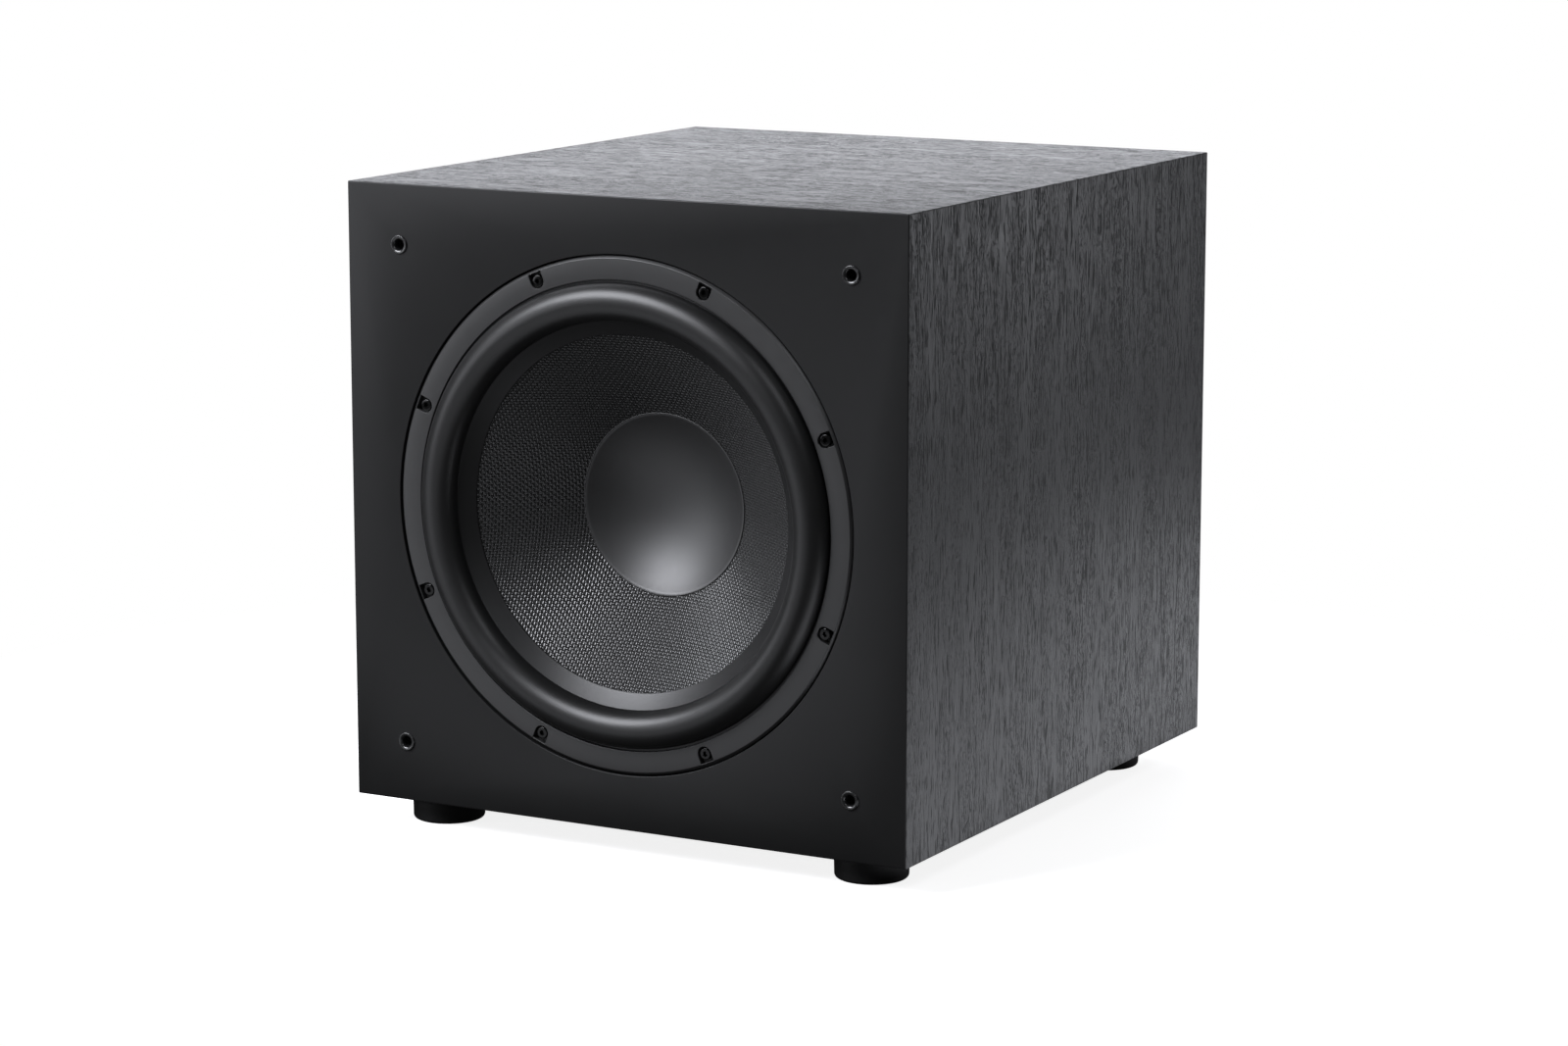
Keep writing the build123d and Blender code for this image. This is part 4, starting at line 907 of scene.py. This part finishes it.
# ---- spider, wadding and leads
SPIDER_DEPTH = 85.0          # rear face of the flat rim
SPIDER_CLOTH = 0.8
SPIDER_WAVES = 5
SPIDER_WAVE_HEIGHT = 2.4
SPIDER_WAVES_INNER = 30.0
SPIDER_WAVES_OUTER = 64.0
SPIDER_OUTER = 74.0
TINSEL_RADIUS = 0.9
LEAD_RADIUS = 1.5
# Each route is (x, depth, height, how far the two leads of the pair lie above and below it)
TINSEL_ROUTE = (
    (84, 95.95, 0, 8),
    (84, 85, 0, 8),
    (91, 74, 0, 10),
    (88, 62, 0, 10),
    (76, 54.5, 0, 9),
    (62, 51.5, 0, 8),
)
LEAD_ROUTE = (
    (90.05, 96.4, 0, 8),
    (106, 96.4, 0, 8),
    (123, 111.4, 16, 4.5),
    (131, 142.4, 38, 4.5),
    (127, 184, 54, 4.5),
    (112, 226, 57, 4.5),
    (92, 266, 52, 4.5),
    (76, 304, 47, 4.5),
    (69, 336, 45, 4.5),
    (64, 362, 44, 4.5),
    (60, 386, 40, 4.5),
    (60, 407.35, 40, 4.5),
)
PAD_THICKNESS = 20.0
PAD_EDGE = 6.0
PAD_CELL = 5.0
PAD_GAP = 4.0                # between the side pads and the top one
PAD_ENDS = 10.0              # left bare at both ends of the top pad
LUMP = 22.0                  # size of the lumps, and of the small ones on them
SMALL_LUMP = 7.0
SINK = 1.2                   # how far the skin lies inside the block on average
MOST_SINK = 3.0
SPIDER_STEPS = SPIDER_WAVES * 24


def spider():
    """Corrugated cloth that centres the coil, between the frame's ledge and the former."""
    waves = []
    for i in range(SPIDER_STEPS + 1):
        share = i / SPIDER_STEPS
        radius = SPIDER_WAVES_INNER + (SPIDER_WAVES_OUTER - SPIDER_WAVES_INNER) * share
        height = SPIDER_WAVE_HEIGHT * math.sin(2 * math.pi * SPIDER_WAVES * share)
        waves.append((radius, SPIDER_DEPTH - height))
    back = [(NECK, SPIDER_DEPTH), *waves, (SPIDER_OUTER, SPIDER_DEPTH)]
    front = [(radius, depth - SPIDER_CLOTH) for radius, depth in reversed(back)]
    shape = turned(back + front + back[:1])
    piece = model("spider_disc", shape, PAINTS["spider_cloth"], None, "spider_cloth", "spider")
    stretch_between(piece)


def stuffed_pad(low, high):
    """A pad of loose fibre: a soft-edged block with a lumpy skin."""
    size = np.array(high) - low
    counts = np.maximum(np.round(size / PAD_CELL).astype(int), 3)
    points = []
    faces = []
    for axis in range(3):
        u, v = [i for i in range(3) if i != axis]
        for level in (0.0, 1.0):
            lines = [np.linspace(0, 1, counts[i] + 1) for i in (u, v)]
            a, b = np.meshgrid(*lines, indexing="ij")
            spots = np.full(a.shape + (3,), level)
            spots[..., u], spots[..., v] = a, b
            some_points, some_faces = grid(spots)
            faces += [[i + len(points) for i in face] for face in some_faces]
            points += list(some_points)
    points = np.array(points) * size
    core = np.clip(points, PAD_EDGE, size - PAD_EDGE)
    outward = points - core
    reach = np.linalg.norm(outward, axis=1, keepdims=True)
    outward /= np.maximum(reach, 1e-6)
    lumps = []
    for point in points:
        at = Vector(point + low)
        lumps.append(noise.noise(at / LUMP) + 0.4 * noise.noise(at / SMALL_LUMP))
    sink = SINK + SINK * np.array(lumps)[:, None]
    return core + low + outward * (PAD_EDGE - np.clip(sink, 0, MOST_SINK)), faces


def wadding():
    """Two side pads and one along the top, each lining its panel between baffle and brace."""
    low, high = local_box("wadding")
    side_top = high[2] - PAD_THICKNESS - PAD_GAP
    top_base = high[2] - PAD_THICKNESS
    edges = {
        "wadding_left": (low, (low[0] + PAD_THICKNESS, high[1], side_top)),
        "wadding_right": ((high[0] - PAD_THICKNESS, low[1], low[2]), (high[0], high[1], side_top)),
        "wadding_top": ((low[0] + PAD_ENDS, low[1], top_base), (high[0] - PAD_ENDS, high[1], high[2])),
    }
    for name, (start, end) in edges.items():
        shape = stuffed_pad(np.array(start), end)
        piece = model(name, shape, PAINTS["wadding"], "cabinet", "wadding", "wadding")


def lead_points(route, side):
    return [world((x, depth, z + side * apart)) for x, depth, z, apart in route]


def lead_curve(name, points, radius):
    """A round wire along a smooth curve."""
    curve = bpy.data.curves.new(name, "CURVE")
    curve.dimensions = "3D"
    curve.resolution_u = 16
    curve.bevel_depth = radius * MM
    curve.bevel_resolution = 5
    curve.use_fill_caps = True
    spline = curve.splines.new("NURBS")
    spline.points.add(len(points) - 1)
    for point, at in zip(spline.points, points):
        point.co = (*at, 1)
    spline.order_u = 3
    spline.use_endpoint_u = True
    return linked(name, curve)


def speaker_leads():
    for name, side, colour in (("lead_red", 1, (0.35, 0.012, 0.010, 1)), ("lead_black", -1, grey(0.012))):
        points = lead_points(LEAD_ROUTE, side)
        piece = lead_curve(name, points, LEAD_RADIUS)
        piece.data.materials.append(moulded(name, colour, 0.42, scale=1200.0))
        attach(piece, "cabinet")
        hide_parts("speaker_leads")


def centreline(piece):
    """The points of a curve's own line, in order."""
    bare = piece.copy()
    bare.data = piece.data.copy()
    bare.data.bevel_depth = 0
    line = bpy.data.meshes.new_from_object(bare)
    points = np.array([vert.co for vert in line.vertices])
    bpy.data.objects.remove(bare)
    bpy.data.meshes.remove(line)
    return points


def tinsel_leads():
    """Braided leads from the frame's tabs towards the cone, baked in place on no body."""
    for name, side in (("tinsel_upper", 1), ("tinsel_lower", -1)):
        curve = lead_curve(name + "_line", lead_points(TINSEL_ROUTE, side), TINSEL_RADIUS)
        path = centreline(curve)
        mesh = bpy.data.meshes.new_from_object(curve)
        bpy.data.objects.remove(curve)
        mesh.name = name
        mesh.materials.clear()
        piece = add_piece(name, mesh, [PAINTS["tinsel"]], None, ["tinsel_leads"])
        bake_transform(piece)
        co = np.array([vert.co for vert in mesh.vertices])
        nearest = np.linalg.norm(co[:, None] - path[None], axis=2).argmin(axis=1)


# ---- back plate details
AMP_FACE = local_box("amp_plate")[1][1]
KNOB_BACK = local_box("volume_knob")[1][1]
KNOB_RADIUS = 11.0
TICK_FROM = 13.2
TICK_TO = 15.4
TICK_WIDTH = 0.7
PAINT_FILM = 0.06
TURN_LIMIT = 150
TURN_STEP = 30
LONG_TICK = 0.8              # extra length of the ticks at the ends and in the middle
INDEX_FROM = 2.2
INDEX_SHORT = 1.2            # from the end of the index to the knob's edge
INDEX_WIDTH = 1.3
INDEX_SUNK = 0.75
INDEX_FILL = 0.45
AMP_SCREW_X = 110.0
AMP_SCREW_STEP = 70.0
AMP_SCREW_PROUD = 2.2
AMP_SCREW_TURN = 0.9
JACK_INSERT = 3.25
JACK_BORE = 1.6


def flat_bar(at, angle, start, end, width, depth, height):
    """A thin bar square to the back, from one radius to another about a point."""
    along = np.array((math.sin(angle), math.cos(angle)))
    across = np.array((along[1], -along[0]))
    corners = [along * start + across * width / 2, along * end + across * width / 2,
               along * end - across * width / 2, along * start - across * width / 2]
    rows = []
    for level in (depth, depth + height):
        rows.append([(at[0] + u, level, at[1] + v) for u, v in corners])
    points = np.array(rows[0] + rows[1])
    sides = [[i, (i + 1) % 4, (i + 1) % 4 + 4, i + 4] for i in range(4)]
    return points, [[0, 1, 2, 3], [4, 5, 6, 7], *sides]


def printed_marks():
    """Scale ticks round both knobs, printed on the plate."""
    shapes = []
    for knob in ("volume_knob", "crossover_knob"):
        middle = middle_of(knob)
        at = (middle[0], middle[2])
        for turn in range(-TURN_LIMIT, TURN_LIMIT + 1, TURN_STEP):
            end = TICK_TO + (LONG_TICK if turn in (-TURN_LIMIT, 0, TURN_LIMIT) else 0.0)
            angle = math.radians(turn)
            shapes.append(flat_bar(at, angle, TICK_FROM, end, TICK_WIDTH, AMP_FACE, PAINT_FILM))
    ink = moulded("printed_ink", grey(0.55), 0.5, grain=0.004 * MM)
    model("printed_scale", joined(shapes), ink, "cabinet", "slider_white")


def knob_indexes():
    """White fill in the pointer groove of each knob."""
    for knob, body in (("volume_knob", "volume_control"), ("crossover_knob", "crossover_control")):
        middle = middle_of(knob)
        at = (middle[0], middle[2])
        end = KNOB_RADIUS - INDEX_SHORT
        shape = flat_bar(at, 0, INDEX_FROM, end, INDEX_WIDTH, KNOB_BACK - INDEX_SUNK, INDEX_FILL)
        model(knob + "_index", shape, PAINTS["slider_white"], body, "slider_white")


def amp_screws():
    """Ten cap screws, made facing the front and then turned to face the back."""
    sizes = {"front": -(AMP_FACE + AMP_SCREW_PROUD), "head": 3.6, "length": AMP_SCREW_PROUD, "shank": 1.9}
    sizes.update(end=-local_box("amp_screws")[0][1], key=1.4, key_depth=1.3)
    places = [(side * AMP_SCREW_X, row * AMP_SCREW_STEP) for side in (-1, 1) for row in range(-2, 3)]
    shapes = []
    for number, at in enumerate(places, 1):
        points, faces = socket_screw(at, number * AMP_SCREW_TURN, **sizes)
        shapes.append((points * (1, -1, 1), faces))
    model("amp_cap_screws", joined(shapes), PAINTS["screw_black"], "cabinet", "screw_black", "amp_screws")


def jack_inserts():
    """Insulators in the phono jacks, red for one channel and white for the other."""
    low, high = local_box("jack_insulators")
    outline = rounded([
        (JACK_BORE, low[1]),
        (JACK_INSERT, low[1]),
        (JACK_INSERT, high[1], 0.3),
        (JACK_BORE, high[1], 0.5),
    ], 3)
    outline = np.vstack([outline, outline[:1]])
    white = moulded("jack_white", grey(0.62), 0.35)
    pair = (("white", low[0] + JACK_INSERT, white), ("red", high[0] - JACK_INSERT, PAINTS["jack_insert"]))
    for colour, x, paint in pair:
        shape = turned(outline, SMALL_TURNS, (x, middle_of("jack_insulators")[2]))
        model("jack_insert_" + colour, shape, paint, "cabinet", "jack_insert", "jack_insulators")


# ---- nodes that keep their CAD shape
SOFT_EDGES = {
    "amp_plate": 0.5, "heatsink": 0.3, "rocker": 0.25, "rocker_housing": 0.3, "mains_inlet": 0.3,
    "fuse_drawer": 0.25, "phase_slider": 0.2, "power_slider": 0.2, "amp_housing": 0.8,
    "terminal_board": 0.2, "magnet": 0.8, "top_plate": 0.6, "transformer_bolt": 0.2,
}


EDGE_ANGLE = math.radians(50)


def soften(node, width):
    """Breaks the sharp edges of a node that keeps its CAD shape."""
    step = frame["nodes"][node].modifiers.new("broken_edges", "BEVEL")
    step.width = width * MM
    step.segments = 2
    step.limit_method = "ANGLE"
    step.angle_limit = EDGE_ANGLE
    step.use_clamp_overlap = True


def dress(node, paint):
    piece = frame["nodes"][node]
    piece.data.materials.clear()
    piece.data.materials.append(paint)


def dress_the_rest():
    """Gives every node that keeps its CAD shape a material, and some of them softer edges."""
    for name, piece in frame["nodes"].items():
        if not piece.hide_render:
            dress(name, PAINTS[SLOT_OF[name]])
    for name, width in SOFT_EDGES.items():
        soften(name, width)


# ---- stage, light and camera
COOL_WHITE = (0.955, 0.97, 1.03)
FLOOR_RADIUS = 14.0
FLOOR_GLOW = 0.85
FADE_FROM, FADE_TO = 0.25, 0.7    # distances from the object's middle at which the floor turns white
DIM_LIGHT = 0.03             # of the surroundings, as light


def backdrop():
    """A pale floor that fades into a white surround."""
    s = Surface("pale_floor")
    distance = s.node("VectorMath", {0: s.here()}, operation="LENGTH").outputs["Value"]
    glow = s.node("Emission", {"Color": grey(1.0), "Strength": 1.0})
    s.set(Base_Color=s.mix(s.noise(3.0), grey(0.86), grey(0.90)), Roughness=0.9)
    s.set(Emission_Color=grey(1.0), Emission_Strength=FLOOR_GLOW)
    far = s.span(distance, FADE_FROM, FADE_TO)
    both = s.node("MixShader", {0: far, 1: s.shader.outputs[0], 2: glow.outputs[0]})
    s.tree.links.new(both.outputs[0], s.tree.nodes["Material Output"].inputs["Surface"])
    bm = bmesh.new()
    bmesh.ops.create_circle(bm, cap_ends=True, segments=96, radius=FLOOR_RADIUS)
    mesh = mesh_of(bm, "floor")
    mesh.materials.append(s.material)
    floor = linked("floor", mesh)
    floor.visible_glossy = False
    floor.visible_diffuse = False


def surroundings():
    """White to the camera, and a very dim white as light."""
    world_shader = bpy.data.worlds.new("studio")
    world_shader.use_nodes = True
    bpy.context.scene.world = world_shader
    tree = world_shader.node_tree
    light = tree.nodes["Background"]
    light.inputs["Color"].default_value = grey(1.0)
    light.inputs["Strength"].default_value = DIM_LIGHT
    seen = tree.nodes.new("ShaderNodeBackground")
    seen.inputs["Color"].default_value = grey(1.0)
    path = tree.nodes.new("ShaderNodeLightPath")
    choose = tree.nodes.new("ShaderNodeMixShader")
    tree.links.new(path.outputs["Is Camera Ray"], choose.inputs[0])
    tree.links.new(light.outputs[0], choose.inputs[1])
    tree.links.new(seen.outputs[0], choose.inputs[2])
    tree.links.new(choose.outputs[0], tree.nodes["World Output"].inputs["Surface"])


def softbox(name, place, aim, width, height, power):
    lamp = bpy.data.lights.new(name, "AREA")
    lamp.shape = "RECTANGLE"
    lamp.size, lamp.size_y = width, height
    lamp.energy = power
    lamp.color = COOL_WHITE
    holder = linked(name, lamp)
    holder.visible_camera = False
    holder.location = place
    holder.rotation_euler = (Vector(aim) - Vector(place)).to_track_quat("-Z", "Y").to_euler()


def softbox_at(name, azimuth, elevation, distance, width, height, power):
    """A softbox that faces the object. Azimuth 0 is straight in front, and 90 to its right."""
    a, e = math.radians(azimuth), math.radians(elevation)
    middle = Vector((0, 0, AXIS_Z))
    away = Vector((math.sin(a) * math.cos(e), -math.cos(a) * math.cos(e), math.sin(e)))
    softbox(name, middle + away * distance, middle, width, height, power)


def lights():
    """Softboxes all round, and two low ones for what a white floor throws back."""
    softbox_at("key_front_left", -36, 37, 2.1, 1.3, 1.0, 54)
    softbox_at("low_front_left", -46, 5, 2.4, 1.2, 0.7, 6)
    softbox_at("fill_front_right", 50, 42, 2.4, 0.8, 0.8, 5)
    softbox_at("back_wall", 210, 23, 3.0, 3.2, 1.5, 50)
    softbox_at("back_right_low", 140, 6, 2.6, 1.2, 0.7, 9)
    softbox("floor_bounce_right", (0.38, 0.30, 0.004), (0.38, 0.30, 1.0), 0.36, 1.3, 2.0)
    softbox("floor_bounce_front", (-0.40, -0.75, 0.004), (-0.40, -0.75, 1.0), 0.9, 0.8, 1.4)


def camera():
    view = bpy.data.cameras.new("main_view")
    view.sensor_width = 36.0
    view.lens = 99.457
    view.clip_end = 60.0
    holder = linked("main_view", view)
    yaw, pitch = 0.50657, -0.18045
    holder.location = (1.31263, -2.37979, 0.66738)
    holder.rotation_euler = Euler((math.pi / 2 + pitch, 0, yaw))
    bpy.context.scene.camera = holder


def main():
    cabinet()
    trim_ring()
    driver_screws()
    surround()
    cone()
    dust_cap()
    grille_sockets()
    feet()
    spider()
    wadding()
    speaker_leads()
    tinsel_leads()
    printed_marks()
    knob_indexes()
    amp_screws()
    jack_inserts()
    dress_the_rest()
    backdrop()
    surroundings()
    lights()
    camera()
    bpy.context.scene.view_settings.view_transform = "Standard"


main()
